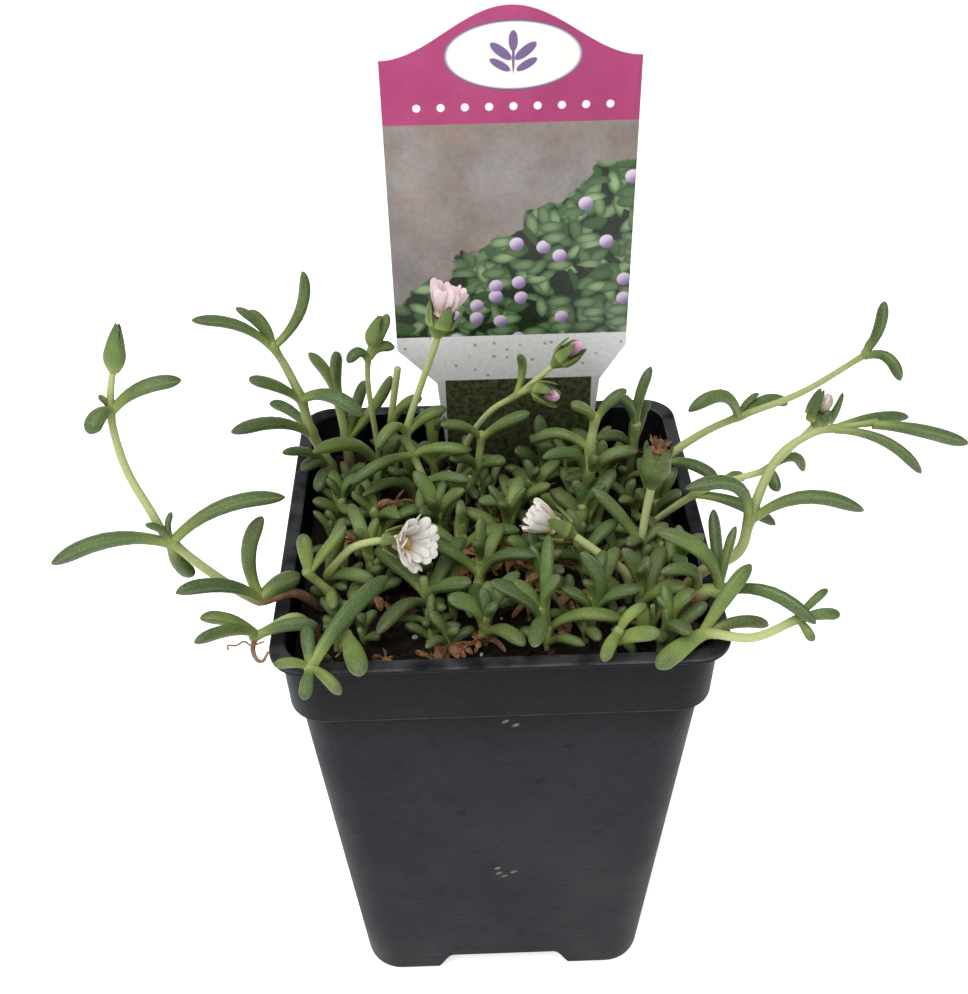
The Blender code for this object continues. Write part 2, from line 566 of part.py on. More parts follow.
def smooth_path(points, per_span):
    """Points along a Catmull-Rom curve through the given ones."""
    points = [Vector(point) for point in points]
    padded = [2 * points[0] - points[1]] + points + [2 * points[-1] - points[-2]]
    path = []
    for index in range(1, len(padded) - 2):
        before, start, end, after = padded[index - 1:index + 3]
        for step in range(per_span):
            t = step / per_span
            path.append(0.5 * (2 * start + (end - before) * t
                               + (2 * before - 5 * start + 4 * end - after) * t ** 2
                               + (3 * start - before - 3 * end + after) * t ** 3))
    path.append(points[-1])
    return path


def stem_radius(shoot, at):
    first, last = shoot.radii
    return first + (last - first) * at / (len(shoot.path) - 1)


def root_axis(shoot):
    return (Vector(shoot.path[1]) - Vector(shoot.path[0])).normalized()


def stem_line(shoot, per_span=1):
    """Points and radii up a stem, from its straight root in the soil to just past its last leaves."""
    points = smooth_path(shoot.path, per_span)
    radii = [stem_radius(shoot, index / per_span) for index in range(len(points))]
    points[-1] = points[-1] + (points[-1] - points[-2]).normalized() * STEM_REACH
    points.insert(0, points[0] - root_axis(shoot) * STEM_DEPTH)
    radii.insert(0, radii[0])
    return points, radii


def only_bends(points, radii):
    """The same line without the points on its straight stretches."""
    kept = [0]
    for index in range(1, len(points) - 1):
        before = points[index] - points[kept[-1]]
        after = points[index + 1] - points[index]
        if before.angle(after) > STRAIGHT_ANGLE:
            kept.append(index)
    kept.append(len(points) - 1)
    return [points[index] for index in kept], [radii[index] for index in kept]


def tube(points, radii, sides, turn=0.0):
    """A round stem along a line, its rings carried along without twisting."""
    rings = []
    across = (points[1] - points[0]).orthogonal().normalized()
    for index, (point, radius) in enumerate(zip(points, radii)):
        before = points[max(index - 1, 0)]
        after = points[min(index + 1, len(points) - 1)]
        axis = (after - before).normalized()
        across = (across - axis * across.dot(axis)).normalized()
        other = axis.cross(across)
        angles = [turn + 2 * math.pi * side / sides for side in range(sides)]
        rings.append([point + (across * math.cos(a) + other * math.sin(a)) * radius for a in angles])
    return skin(rings)


# Leaves

def leaf_curve(shoot, leaf):
    """Start, control point and tip of a leaf's middle line; it starts inside the stem, on its own side."""
    base = Vector(shoot.path[leaf.at])
    below = Vector(shoot.path[max(leaf.at - 1, 0)])
    above = Vector(shoot.path[min(leaf.at + 1, len(shoot.path) - 1)])
    stem = (above - below).normalized()
    heading = math.radians(leaf.heading)
    rise = math.radians(leaf.rise)
    out = Vector((math.cos(heading), math.sin(heading), 0))
    left = Vector((-math.sin(heading), math.cos(heading), 0))
    along = out * math.cos(rise) + UP * math.sin(rise)
    over = UP * math.cos(rise) - out * math.sin(rise)
    own_side = (along - stem * along.dot(stem)).normalized()
    start = base + own_side * (stem_radius(shoot, leaf.at) * LEAF_SEAT)
    tip = base + along * leaf.length
    control = base + along * leaf.length / 2 + (over * leaf.bow + left * leaf.sideways) * 2 * leaf.length
    return start, control, tip


def on_curve(curve, t):
    start, control, end = curve
    return start * (1 - t) ** 2 + control * 2 * t * (1 - t) + end * t ** 2


def curve_axis(curve, t):
    start, control, end = curve
    return ((control - start) * (1 - t) + (end - control) * t).normalized()


def blade(curve, width, face, profile, section):
    """A leaf, lobe or petal: its section along a curve, the flat side turned to a point at its middle."""
    start, _, end = curve
    chord = (end - start).normalized()
    toward = face - on_curve(curve, 0.5)
    flat = toward - chord * toward.dot(chord)
    rings = []
    for t, share in profile:
        centre = on_curve(curve, t)
        axis = curve_axis(curve, t)
        over = (flat - axis * flat.dot(axis)).normalized()
        side = axis.cross(over)
        size = width * share
        rings.append([centre + side * (s * size) + over * (n * size) for s, n in section])
    return skin(rings, tip=end)


def leaf_face(shoot, leaf):
    """The point that a leaf's flat side turns to: on the stem's line, a leaf's length above it."""
    base = Vector(shoot.path[leaf.at])
    below = Vector(shoot.path[leaf.at - 1]) if leaf.at > 0 else base - UP
    return base + (base - below).normalized() * leaf.length


def leaf_mesh(shoot, leaf):
    """A blunt finger-shaped leaf, no wider at its root than the stem that hides it."""
    root_share = min(0.5, 2 * LEAF_ROOT_SHARE * stem_radius(shoot, leaf.at) / leaf.width)
    profile = ((0.0, root_share),) + LEAF_RINGS
    return blade(leaf_curve(shoot, leaf), leaf.width, leaf_face(shoot, leaf), profile, LEAF_SECTION)


# Room between the shoots

class Room:
    """Balls along everything placed so far, each with the node that owns it."""

    def __init__(self):
        self.centres = []
        self.radii = []
        self.owners = []

    def add(self, owner, chain):
        for centre, radius in chain:
            self.centres.append(tuple(centre))
            self.radii.append(radius)
            self.owners.append(owner)

    def clear(self, owner, chain):
        others = np.array([name != owner for name in self.owners])
        if not others.any():
            return True
        centres = np.array(self.centres)[others]
        radii = np.array(self.radii)[others]
        for centre, radius in chain:
            apart = np.linalg.norm(centres - np.array(centre), axis=1)
            if (apart < radii + radius + CLEARANCE).any():
                return False
        return True


def plan_distance(x, y, half, corner):
    """Distance in plan to a rounded square, negative inside it."""
    over_x = abs(x) - (half - corner)
    over_y = abs(y) - (half - corner)
    outside = math.hypot(max(over_x, 0.0), max(over_y, 0.0))
    return outside + min(max(over_x, over_y), 0.0) - corner


def clear_of_pot(chain):
    """Whether balls keep clear of the pot's wall and lip, the soil and the tag."""
    for centre, radius in chain:
        room = radius * FLATNESS + CLEARANCE
        inside = plan_distance(centre.x, centre.y, COLLAR_FOOT_HALF - WALL, LIP_CORNER - WALL)
        outside = plan_distance(centre.x, centre.y, LIP_HALF, LIP_CORNER)
        if centre.z < POT_HEIGHT + room and inside > -room and outside < room:
            return False
        if inside < 0 and centre.z < soil_top(centre.x, centre.y) + room:
            return False
        on_card = TAG_CARD_FOOT_Z - 9 < centre.z and abs(centre.x - TAG_X) < TAG_HALF + room
        on_stake = centre.z < STAKE_TOP_Z + room and abs(centre.x - STAKE_X) < STAKE_HALF + room
        if abs(centre.y - TAG_Y) < room + TAG_THICKNESS / 2 and (on_card or on_stake):
            return False
    return True


def leaf_chain(shoot, leaf):
    """Balls along a leaf, from just outside its stem to its tip."""
    curve = leaf_curve(shoot, leaf)
    chain = []
    for step in range(1, CHAIN_STEPS + 1):
        t = step / CHAIN_STEPS
        share = 0.62 + 0.38 * math.sin(math.pi * min(t / 0.6, 1.0) / 2) if t < 0.8 else 0.6
        chain.append((on_curve(curve, t), leaf.width * share / 2))
    return chain


def stem_chain(shoot):
    """Balls along a stem and its root, close enough together to leave no gap."""
    points, radii = stem_line(shoot, CHAIN_STEPS)
    root, foot = points[0], points[1]
    buried = [(root.lerp(foot, step / CHAIN_STEPS), radii[0] + GAP) for step in range(CHAIN_STEPS)]
    return buried + list(zip(points[1:], radii[1:]))


def flower_end(flower, shoots):
    """Where a flower's cup begins and the way that it faces."""
    if flower.name == "pink_bud_lower":
        return Vector(LOWER_BUD_STALK[1]), Vector(flower.axis).normalized()
    return Vector(shoots[flower.shoot].path[-1]), Vector(flower.axis).normalized()


def flower_chain(flower, shoots):
    base, axis = flower_end(flower, shoots)
    height = flower.cup + flower.lobe
    if flower.petals:
        height = max(height, flower.cup * 0.5 + flower.petals.length)
    chain = []
    for step in range(CHAIN_STEPS + 1):
        share = step / CHAIN_STEPS
        radius = flower.radius * 1.15
        if flower.petals and share > 0.6:
            radius = max(radius, flower.petals.flare * share)
        chain.append((base + axis * height * share, radius))
    return chain


def capsule_chain():
    base = Vector(CAPSULE_BASE)
    top = Vector(CAPSULE_TOP)
    return [(base.lerp(top, step / CHAIN_STEPS), CAPSULE_RADIUS + 0.2) for step in range(CHAIN_STEPS + 1)]


def fit_leaf(room, shoot, leaf):
    """The leaf as drawn, or turned, raised or shortened until it clears everything, or none."""
    for share in TRY_LENGTHS:
        for turn in TRY_TURNS:
            for lift in TRY_RISES:
                tried = leaf._replace(heading=leaf.heading + turn, rise=leaf.rise + lift,
                                      length=leaf.length * share)
                chain = leaf_chain(shoot, tried)
                if clear_of_pot(chain) and room.clear(shoot.name, chain):
                    room.add(shoot.name, chain)
                    return tried
    return None


def short_shoot(row, rng):
    """A short stem from one row of the list, with pairs of leaves set crosswise up it."""
    name, x, y, heading, length = row
    lean = math.radians(rng.uniform(0, 360))
    height = SHORT_STEM * rng.uniform(0.85, 1.25)
    reach = rng.uniform(0.5, 2.5)
    foot = soil_top(x, y) + 0.5
    path = []
    for step in range(SHORT_PAIRS + 1):
        share = step / SHORT_PAIRS
        path.append((x + reach * share * math.cos(lean), y + reach * share * math.sin(lean),
                     foot + height * share))
    leaves = []
    for pair in range(SHORT_PAIRS):
        for side in (0, 180):
            leaves.append(Leaf(pair + 1, heading + 90 * pair + side + rng.uniform(-14, 14),
                               PAIR_RISES[pair] + rng.uniform(-8, 10),
                               length * PAIR_SHRINK[pair] * rng.uniform(0.85, 1.1),
                               PAIR_WIDTHS[pair] * rng.uniform(0.9, 1.12),
                               rng.uniform(0.06, 0.2)))
    return Shoot("short_" + name, SHORT_RADII, path, leaves, SHORT_SIDES)


def fit_stem(room, shoot):
    """A short shoot where it was drawn, or moved a little in plan until its stem has room."""
    for reach in TRY_NUDGES:
        for way in range(8):
            angle = math.radians(45 * way)
            path = [(x + reach * math.cos(angle), y + reach * math.sin(angle), z) for x, y, z in shoot.path]
            moved = shoot._replace(path=path)
            chain = stem_chain(moved)
            inside = max(plan_distance(centre.x, centre.y, BODY_TOP_HALF - WALL, LIP_CORNER - WALL) + radius
                         for centre, radius in chain)
            if inside < -CLEARANCE and room.clear(shoot.name, chain):
                room.add(shoot.name, chain)
                return moved
    raise ValueError(f"no room for {shoot.name}")


def lay_out():
    """Every shoot with its leaves fitted: first the long ones, then the short ones between them."""
    rng = random.Random(SHORT_SEED)
    room = Room()
    named = {shoot.name: shoot for shoot in LONG_SHOOTS}
    for shoot in LONG_SHOOTS:
        room.add(shoot.name, stem_chain(shoot))
    room.add("stalk_capsule", capsule_chain())
    for flower in FLOWERS:
        owner = flower.name if flower.petals else flower.shoot
        room.add(owner, flower_chain(flower, named))
    shorts = [fit_stem(room, short_shoot(row, rng)) for row in SHORT_SHOOTS]
    fitted = []
    for shoot in LONG_SHOOTS + shorts:
        placed = [fit_leaf(room, shoot, leaf) for leaf in shoot.leaves]
        fitted.append(shoot._replace(leaves=[leaf for leaf in placed if leaf]))
    return fitted


# Flowers

def spread(axis, count, turn=0.0):
    """Directions round an axis."""
    across = axis.orthogonal().normalized()
    other = axis.cross(across)
    angles = [turn + 2 * math.pi * index / count for index in range(count)]
    return [across * math.cos(a) + other * math.sin(a) for a in angles]


def turned(base, axis, height, radius, profile, sides, tip=None):
    """A body turned about an axis from (height share, radius share) pairs."""
    rings = [circle(base + axis * (height * h), axis, radius * r, sides) for h, r in profile]
    return skin(rings, tip)


def lobe(root, control, tip, out, width):
    return blade((root, control, tip), width, tip - out * FAR, LOBE_RINGS, LOBE_SECTION)


def cup_meshes(flower, shoots):
    """The green cup and its lobes, or a closed bud."""
    base, axis = flower_end(flower, shoots)
    start = base - axis * CUP_SINK
    if not flower.petals:
        tip = start + axis * flower.cup
        return [turned(start, axis, flower.cup, flower.radius, BUD_PROFILE, STEM_SIDES, tip)]
    meshes = [turned(start, axis, flower.cup, flower.radius, CUP_PROFILE, CUP_SIDES)]
    for out in spread(axis, LOBE_COUNT, 0.3):
        root = start + axis * (flower.cup * 0.62) + out * flower.radius * 0.72
        control = start + axis * (flower.cup * 1.05) + out * flower.radius * 1.12
        tip = start + axis * (flower.cup + flower.lobe) + out * flower.radius * flower.flare
        meshes.append(lobe(root, control, tip, out, flower.radius * 1.15))
    return meshes


def petal_seat(flower, shoots):
    """The point just above a flower's cup that its petals stand on, and the way that it faces."""
    base, axis = flower_end(flower, shoots)
    return base + axis * (flower.cup - CUP_SINK + SEAT_GAP), axis


def petal_meshes(flower, shoots):
    """A disc on the cup with a ring of narrow petals, or the furled petals of an opening bud."""
    seat, axis = petal_seat(flower, shoots)
    petals = flower.petals
    if petals.count == 1:
        return [turned(seat, axis, petals.length, petals.width, FURLED_PROFILE, CUP_SIDES)]
    disc = flower.radius * DISC_SHARE
    meshes = [turned(seat, axis, DISC_HEIGHT, disc, ((0.0, 1.0), (1.0, 1.0)), CUP_SIDES)]
    half = PETAL_THICKNESS / 2 / petals.width
    section = ((0.5, half), (-0.5, half), (-0.5, -half), (0.5, -half))
    for index, out in enumerate(spread(axis, petals.count, 0.12)):
        reach = petals.length * (0.94 if index % 2 else 1.0)
        root = seat + axis * (DISC_HEIGHT * 0.55) + out * disc * 0.75
        control = seat + axis * (reach * 0.45) + out * disc * 1.3
        tip = seat + axis * (reach * petals.lift) + out * petals.flare
        meshes.append(blade((root, control, tip), petals.width, seat + axis * FAR, PETAL_RINGS, section))
    return meshes


def stamen_mesh(flower, shoots):
    """The tuft of stamens, one plain body that stands on the petals' disc."""
    seat, axis = petal_seat(flower, shoots)
    foot = seat + axis * (DISC_HEIGHT + SEAT_GAP)
    return turned(foot, axis, STAMEN_HEIGHT, STAMEN_RADIUS, STAMEN_PROFILE, CUP_SIDES)


def capsule_axis():
    return (Vector(CAPSULE_TOP) - Vector(CAPSULE_BASE)).normalized()


def capsule_meshes():
    """The swollen seed capsule with the cup's lobes still on its rim."""
    base = Vector(CAPSULE_BASE)
    axis = capsule_axis()
    meshes = [turned(base - axis * CUP_SINK, axis, CAPSULE_HEIGHT, CAPSULE_RADIUS, CAPSULE_PROFILE, CUP_SIDES)]
    for out in spread(axis, LOBE_COUNT, 0.5):
        root = base + axis * 6.0 + out * 2.4
        tip = base + axis * 10.0 + out * 3.6
        meshes.append(lobe(root, root + axis * 2.4 + out * 0.6, tip, out, 2.6))
    return meshes


def crown_meshes():
    """The dry brown remains of the flower on top of the capsule."""
    axis = capsule_axis()
    seat = Vector(CAPSULE_BASE) + axis * (CAPSULE_HEIGHT - CUP_SINK + SEAT_GAP)
    meshes = [turned(seat, axis, 0.9, 1.7, ((0.0, 1.0), (1.0, 0.8)), CUP_SIDES)]
    for index, out in enumerate(spread(axis, CROWN_SPIKES, 0.2)):
        reach = 0.8 + 0.3 * (index % 3)
        root = seat + axis * 0.4 + out * 0.9
        tip = seat + axis * (0.9 + reach) + out * (1.5 + reach * 0.5)
        way = (tip - root).normalized()
        meshes.append(skin([circle(root, way, 0.42, 3), circle(tip, way, 0.36, 3)]))
    return meshes


# Nodes

def faults(mesh):
    """How many edges lack exactly two faces, points touch without a join, and faces cross."""
    shell = bmesh.new()
    shell.from_mesh(mesh)
    count = sum(1 for edge in shell.edges if len(edge.link_faces) != 2)
    count += len(bmesh.ops.find_doubles(shell, verts=shell.verts, dist=WELD)["targetmap"])
    bmesh.ops.scale(shell, vec=Vector((1.0, 1.0, 1.0)) / MM, verts=shell.verts)
    bmesh.ops.triangulate(shell, faces=shell.faces)
    shell.faces.ensure_lookup_table()
    tree = BVHTree.FromBMesh(shell)
    corners = [set(face.verts) for face in shell.faces]
    count += sum(1 for one, other in tree.overlap(tree) if not corners[one] & corners[other])
    shell.free()
    return count


def islands(shell):
    """The faces of each separate piece of a bmesh, the largest first."""
    left = set(shell.faces)
    pieces = []
    while left:
        piece = set()
        edge_of_piece = [left.pop()]
        while edge_of_piece:
            face = edge_of_piece.pop()
            piece.add(face)
            for edge in face.edges:
                for neighbour in edge.link_faces:
                    if neighbour in left:
                        left.remove(neighbour)
                        edge_of_piece.append(neighbour)
        pieces.append(piece)
    return sorted(pieces, key=lambda piece: sum(face.calc_area() for face in piece), reverse=True)


def triangulate(mesh, flat_angle=0.0):
    """Triangles, fewer on flat ground, and only the largest piece: what a union cut loose goes."""
    shell = bmesh.new()
    shell.from_mesh(mesh)
    bmesh.ops.remove_doubles(shell, verts=shell.verts, dist=WELD)
    if flat_angle:
        bmesh.ops.dissolve_limit(shell, angle_limit=flat_angle, verts=shell.verts, edges=shell.edges)
    bmesh.ops.triangulate(shell, faces=shell.faces)
    for piece in islands(shell)[1:]:
        bmesh.ops.delete(shell, geom=list(piece), context="FACES")
    shell.to_mesh(mesh)
    shell.free()


def fuse(name, meshes, finish, origin):
    """One closed body from overlapping meshes, or None where the union leaves a fault.

    The exact solver loses faces where leaves cross inside a stem, so this union uses the other one.
    """
    whole = make_object(name, *meshes[0], finish, origin)
    if len(meshes) > 1:
        pieces = [make_object("piece", *mesh, finish, origin) for mesh in meshes[1:]]
        for thing in [whole] + pieces:
            triangulate(thing.data)
        combine(whole, pieces, "UNION", "MANIFOLD")
        plain = whole.data.copy()
        triangulate(whole.data, FLAT_ANGLE)
        if faults(whole.data):
            triangulate(plain)
            whole.data = plain
    if faults(whole.data):
        bpy.data.objects.remove(whole, do_unlink=True)
        return None
    shade(whole, 50)
    return whole


def shoot_meshes(shoot, named, turn):
    """Stem, leaves and everything green that grows on a stem."""
    meshes = [tube(*only_bends(*stem_line(shoot)), shoot.sides, turn)]
    meshes += [leaf_mesh(shoot, leaf) for leaf in shoot.leaves]
    for flower in FLOWERS:
        if flower.shoot == shoot.name:
            meshes += cup_meshes(flower, named)
    if shoot.name == "stalk_pink_buds":
        meshes.append(tube([Vector(point) for point in LOWER_BUD_STALK], (0.8, 0.8), STEM_SIDES))
    if shoot.name == "stalk_capsule":
        meshes += capsule_meshes()
    if shoot.name == "shoot_left_low":
        meshes.append(tube([Vector(point) for point in DRY_TENDRIL], (0.6, 0.55, 0.5, 0.5, 0.45), 5))
    return meshes


def build_shoot(shoot, named, finish):
    """A shoot's one body; where the union fails, its stem's facets are turned a little and it runs again."""
    for turn in STEM_TURNS:
        if fuse(shoot.name, shoot_meshes(shoot, named, turn), finish, shoot.path[0]):
            return
    raise ValueError(f"{shoot.name} isn't one closed body")


def build_plant(shoots):
    leaf_green = material("leaf_green", (0.115, 0.22, 0.06), 0.5)
    petal_white = material("petal_white", (0.86, 0.80, 0.78), 0.5)
    petal_pink = material("petal_pink", (0.82, 0.52, 0.56), 0.5)
    bud_pink = material("bud_pink", (0.75, 0.20, 0.45), 0.5)
    stamen_yellow = material("stamen_yellow", (0.72, 0.50, 0.10), 0.6)
    dry_brown = material("dry_brown", (0.22, 0.09, 0.04), 0.9)
    finishes = {"white": petal_white, "pink": petal_pink, "pink_bud": bud_pink, "pale_bud": petal_white}
    named = {shoot.name: shoot for shoot in shoots}
    for shoot in shoots:
        build_shoot(shoot, named, leaf_green)
    for flower in FLOWERS:
        if flower.petals:
            seat, _ = petal_seat(flower, named)
            fuse(flower.name + "_petals", petal_meshes(flower, named), finishes[flower.petals.colour], seat)
            if flower.petals.count > 1:
                fuse(flower.name + "_stamens", [stamen_mesh(flower, named)], stamen_yellow, seat)
    fuse("capsule_crown", crown_meshes(), dry_brown, CAPSULE_TOP)


def main():
    clear_scene()
    shoots = lay_out()
    build_pot()
    build_soil(shoots)
    build_tag()
    build_plant(shoots)


main()
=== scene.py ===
"""Looks of the potted ice plant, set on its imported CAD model.

Lengths are in millimetres until a mesh is made, then in metres. +Z is up, the front is -Y, and the
origin is the centre of the pot's foot. Headings are in degrees in plan, 0 to the right and 90 to
the back. A rise is the angle above the horizontal.
"""

import json
import math
import random
from collections import namedtuple
from itertools import product

import bmesh
import bpy
import numpy as np
from mathutils import Matrix, Vector

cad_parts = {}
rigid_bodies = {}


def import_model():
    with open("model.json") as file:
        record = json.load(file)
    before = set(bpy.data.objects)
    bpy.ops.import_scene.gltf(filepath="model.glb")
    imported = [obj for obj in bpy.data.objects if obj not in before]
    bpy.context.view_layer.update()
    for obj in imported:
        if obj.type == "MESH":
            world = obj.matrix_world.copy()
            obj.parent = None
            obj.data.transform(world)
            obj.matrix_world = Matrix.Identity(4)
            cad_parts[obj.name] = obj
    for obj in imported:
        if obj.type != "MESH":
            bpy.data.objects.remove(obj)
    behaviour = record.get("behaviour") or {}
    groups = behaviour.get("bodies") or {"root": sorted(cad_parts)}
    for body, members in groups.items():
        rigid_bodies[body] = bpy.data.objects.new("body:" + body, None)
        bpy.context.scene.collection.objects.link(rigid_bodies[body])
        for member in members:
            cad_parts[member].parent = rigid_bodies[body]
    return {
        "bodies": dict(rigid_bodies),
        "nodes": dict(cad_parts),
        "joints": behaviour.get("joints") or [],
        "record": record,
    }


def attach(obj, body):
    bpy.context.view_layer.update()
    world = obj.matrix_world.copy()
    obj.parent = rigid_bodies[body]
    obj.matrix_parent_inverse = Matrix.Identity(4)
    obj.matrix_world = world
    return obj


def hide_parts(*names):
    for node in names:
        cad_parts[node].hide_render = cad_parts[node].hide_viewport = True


MM = 0.001
UP = Vector((0.0, 0.0, 1.0))

# Camera: where it stands, what it looks at, its lens and its slight roll
CAMERA_AT = Vector((-5.30, -209.02, 284.50))
CAMERA_AIM = Vector((-1.98, 0.0, 121.71))
CAMERA_ROLL = math.radians(-1.20)
LENS = 45.62
SENSOR = 36.0

# Pot: half widths across the flats, as in the CAD
POT_HEIGHT = 116.0
LIP_HALF = 44.0
LIP_THICKNESS = 1.3
COLLAR_TOP_HALF = 42.2
COLLAR_FOOT_HALF = 41.8
COLLAR_HEIGHT = 16.2
BODY_TOP_HALF = 40.2
FOOT_HALF = 33.7
WALL = 1.1
FLOOR = 1.4
LIP_CORNER = 7.3
FOOT_CORNER = 8.7
FOOT_ROUNDING = 1.5
EDGE = 0.4
LEDGE_SLOPE = 0.9
INNER_FOOT_ROUNDING = 0.8
CORNER_STEPS = 12
LEDGE_Z = POT_HEIGHT - COLLAR_HEIGHT

NOTCH_HALF_TOP = 12.3
NOTCH_HALF_FLOOR = 17.2
NOTCH_HEIGHT = 6.2
NOTCH_DEPTH = 14.0
NOTCH_STEPS = 8
DRAIN_RADIUS = 3.5
DRAIN_SIDES = 32
DRAIN_TOP = 9.5
CUT_PAST = 2.0
EDGE_STEPS = 4
POT_SHARP_ANGLE = 35

# Soil
GAP = 0.3
SOIL_BACK = 104.0
SOIL_FRONT_RISE = 5.0
SOIL_RISE_FROM = 6.0
SOIL_RISE_RUN = 40.0
SOIL_DOME = 1.5
SOIL_LUMP = 0.4
SOIL_HALF = COLLAR_FOOT_HALF - WALL - GAP

# Marks on the pot's front wall, as (x, z), and their half sizes
SCUFFS = [(-1.2, 44.1), (0.3, 40.8), (-0.9, 42.0), (2.4, 42.4), (0.7, 96.5), (2.7, 95.2)]
SCUFF_SIZE = (0.75, 0.4)
DARK_SPOTS = [(7.9, 76.6), (20.8, 56.8), (13.5, 88.0), (-9.0, 66.0)]
SPOT_SIZE = (1.2, 0.8)
SQUARENESS = 8
# Heights of the pale lines along the pot's edges, with half the width of each line
PALE_EDGE_LINES = ((LEDGE_Z, 0.45), (POT_HEIGHT - 0.2, 0.3))

# Tag
TAG_Y = 35.0
TAG_X = 5.5
TAG_HALF = 25.7
TAG_THICKNESS = 0.8
TAG_SHOULDER_Z = 202.0
TAG_SWELL = 10.0
TAG_CARD_FOOT_Z = 137.0
STAKE_TOP_Z = 128.0
STAKE_X = 7.0
STAKE_HALF = 18.6
STAKE_NARROW_Z = 96.0
STAKE_NARROW_HALF = 16.0
STAKE_POINT_Z = 58.0
STAKE_POINT_HALF = 1.5
TAG_TOP_STEPS = 72
TAG_EDGE = 0.12
TAG_SHARP_ANGLE = 50

# The tag's print: its bands, the oval with a sprig of ellipses, the beads, and the bank of leaves
PRINT_FRONT_Y = TAG_Y - TAG_THICKNESS / 2 + 0.05
HEADER_Z = 189.0
STRIP_Z = 140.3
CARD_EDGE_Z = 128.8
OVAL_X = 6.0
OVAL_Z = 202.4
OVAL_HALF = 13.0
OVAL_RISE = 6.4
SPRIG = (((6.0, 202.6), (0.28, 3.6), 0), ((3.6, 203.2), (2.6, 0.95), -38), ((8.4, 203.2), (2.6, 0.95), 38),
         ((3.4, 200.6), (2.3, 0.8), -30), ((8.6, 200.6), (2.3, 0.8), 30), ((6.0, 205.2), (0.9, 2.0), 0))
BEADS_Z = 192.4
BEAD_SPACING = 2.4
BANK_Z = 154.0
BANK_SLOPE = 0.7
BERRIES_Z = 158.0
BLADE_ANGLES = (25, -40, 75, -5)

# Stems and leaves
STEM_DEPTH = 8.0
STEM_REACH = 0.8
LEAF_SEAT = 0.35
NODE_SWELLING = 0.35
NODE_REACH = 1.5
GREEN_REACH = 3.0
BARK_SHARE = 0.13
BARK_SPREAD = (-0.03, 0.07)
STEM_SHADES = (0.4, 1.0)
STEM_TIP = ((0.35, 0.8), (0.5, 0.3))
YOUNG_AGES = (0.0, 0.12)
OLD_AGES = (0.1, 0.55)
OLD_CHANCE = 0.6
LEAF_LIGHTEST = 0.9
# Leaves of the runners and other outlying shoots are kept darker than the rest: painted shade
RUNNER_LIGHTEST = 0.4
LEAF_STEPS = (0.0, 0.05, 0.12, 0.2, 0.3, 0.42, 0.54, 0.66, 0.76, 0.84, 0.9, 0.945, 0.975, 0.992, 1.0)
LEAF_SIDES = 12
LEAF_TOP = 0.68
LEAF_KEEL = 1.16
BLADE_REACH = 0.985
RIM_ANGLE = 48
WIDEST_AT = 0.62
TIP_FROM = 0.76
BLUNTNESS = 0.55
SHORT_THICK = 0.85
ROOT_SHARE = 0.62
ROOT_LEAST = 0.65
ROOT_MOST = 0.92
SLIMMEST_LEAF = 0.86
WIDEST_LEAF = 1.0
TIP_END = 0.1
YOUNG_SHOOTS = ("shoot_front_right", "shoot_left_inner", "stalk_pink_buds")
RUNNERS = ("runner_left", "runner_right", "runner_right_front", "shoot_left_back", "stalk_pale_bud")
OLD_STEMS = {"runner_left": 0.33, "shoot_left_back": 0.32, "shoot_right_arched": 0.6, "shoot_left_low": 0.5,
             "runner_right_front": 0.22, "shoot_back_left": 0.45}
STEM_STEPS = 6

# Free room that the layout keeps round each leaf, and the ways in which it tries to fit one
CLEARANCE = 0.45
CHAIN_STEPS = 8
FLATNESS = 0.75
CARD_FOOT_MARGIN = 9.0
TRY_TURNS = (0, 12, -12, 24, -24, 38, -38, 55, -55)
TRY_RISES = (0, 12, -10, 24, 40)
TRY_LENGTHS = (1.0, 0.82, 0.66)
TRY_NUDGES = (0.0, 1.5, 3.0, 4.5)
# Balls along a leaf: their size at its root and tip as shares of its width, and where that changes
BALL_ROOT = 0.62
BALL_FULL_AT = 0.6
BALL_TIP_FROM = 0.8
BALL_TIP = 0.6
FLOWER_MARGIN = 1.15
FLOWER_OPENS_AT = 0.6
CAPSULE_MARGIN = 0.2

# Cups, buds and capsule
CUP_SINK = 0.8
LOBE_COUNT = 5
# Points of lobes and sepals, as shares of the cup's height and of its half width
LOBE_ROOT = (0.62, 0.8)
LOBE_MIDDLE = (1.15, 1.1)
SEPAL_ROOT = (0.12, 0.5)
SEPAL_MIDDLE = (0.4, 0.98)
SEAT_GAP = 0.3
CAPSULE_BASE = (32, -7, 129)
CAPSULE_TOP = (33, -6, 138)
CAPSULE_RADIUS = 3.2
CAPSULE_HEIGHT = 8.5
# Points of a rib and of a lobe on the rim, as heights over the base and distances from the axis
RIB = ((0.6, 0.8), (4.4, 3.7), (7.4, 2.2))
RIB_WIDTH = 1.8
RIM_ROOT = (6.2, 2.3)
RIM_TIP = (9.2, 2.9)
RIM_BEND = (2.0, 0.5)
RIM_WIDTH = 2.9
RIM_THICK = 0.22
RIB_BASE = 0.8
RIB_AGE = 0.12
CAPSULE_AGE = 0.15
CAPSULE_SHADE = 0.5
CUP_PROFILE = ((0.0, 0.3), (0.22, 0.5), (0.6, 0.92), (1.0, 0.97))
BUD_PROFILE = ((0.0, 0.5), (0.16, 0.9), (0.34, 1.0), (0.7, 0.62), (1.0, 0.08))
CAPSULE_PROFILE = ((0.0, 0.28), (0.15, 0.45), (0.4, 0.92), (0.62, 1.02), (0.8, 0.9), (1.0, 0.82))
FURLED_PROFILE = ((0.0, 0.75), (0.3, 1.0), (0.7, 0.8), (1.0, 0.35))
DISC_PROFILE = ((0.0, 1.0), (0.8, 1.0), (1.0, 0.7))
CROWN_PROFILE = ((0.0, 1.0), (0.7, 0.95), (1.0, 0.7))
TURNED_STEPS = 12
BUD_SEPALS = 4
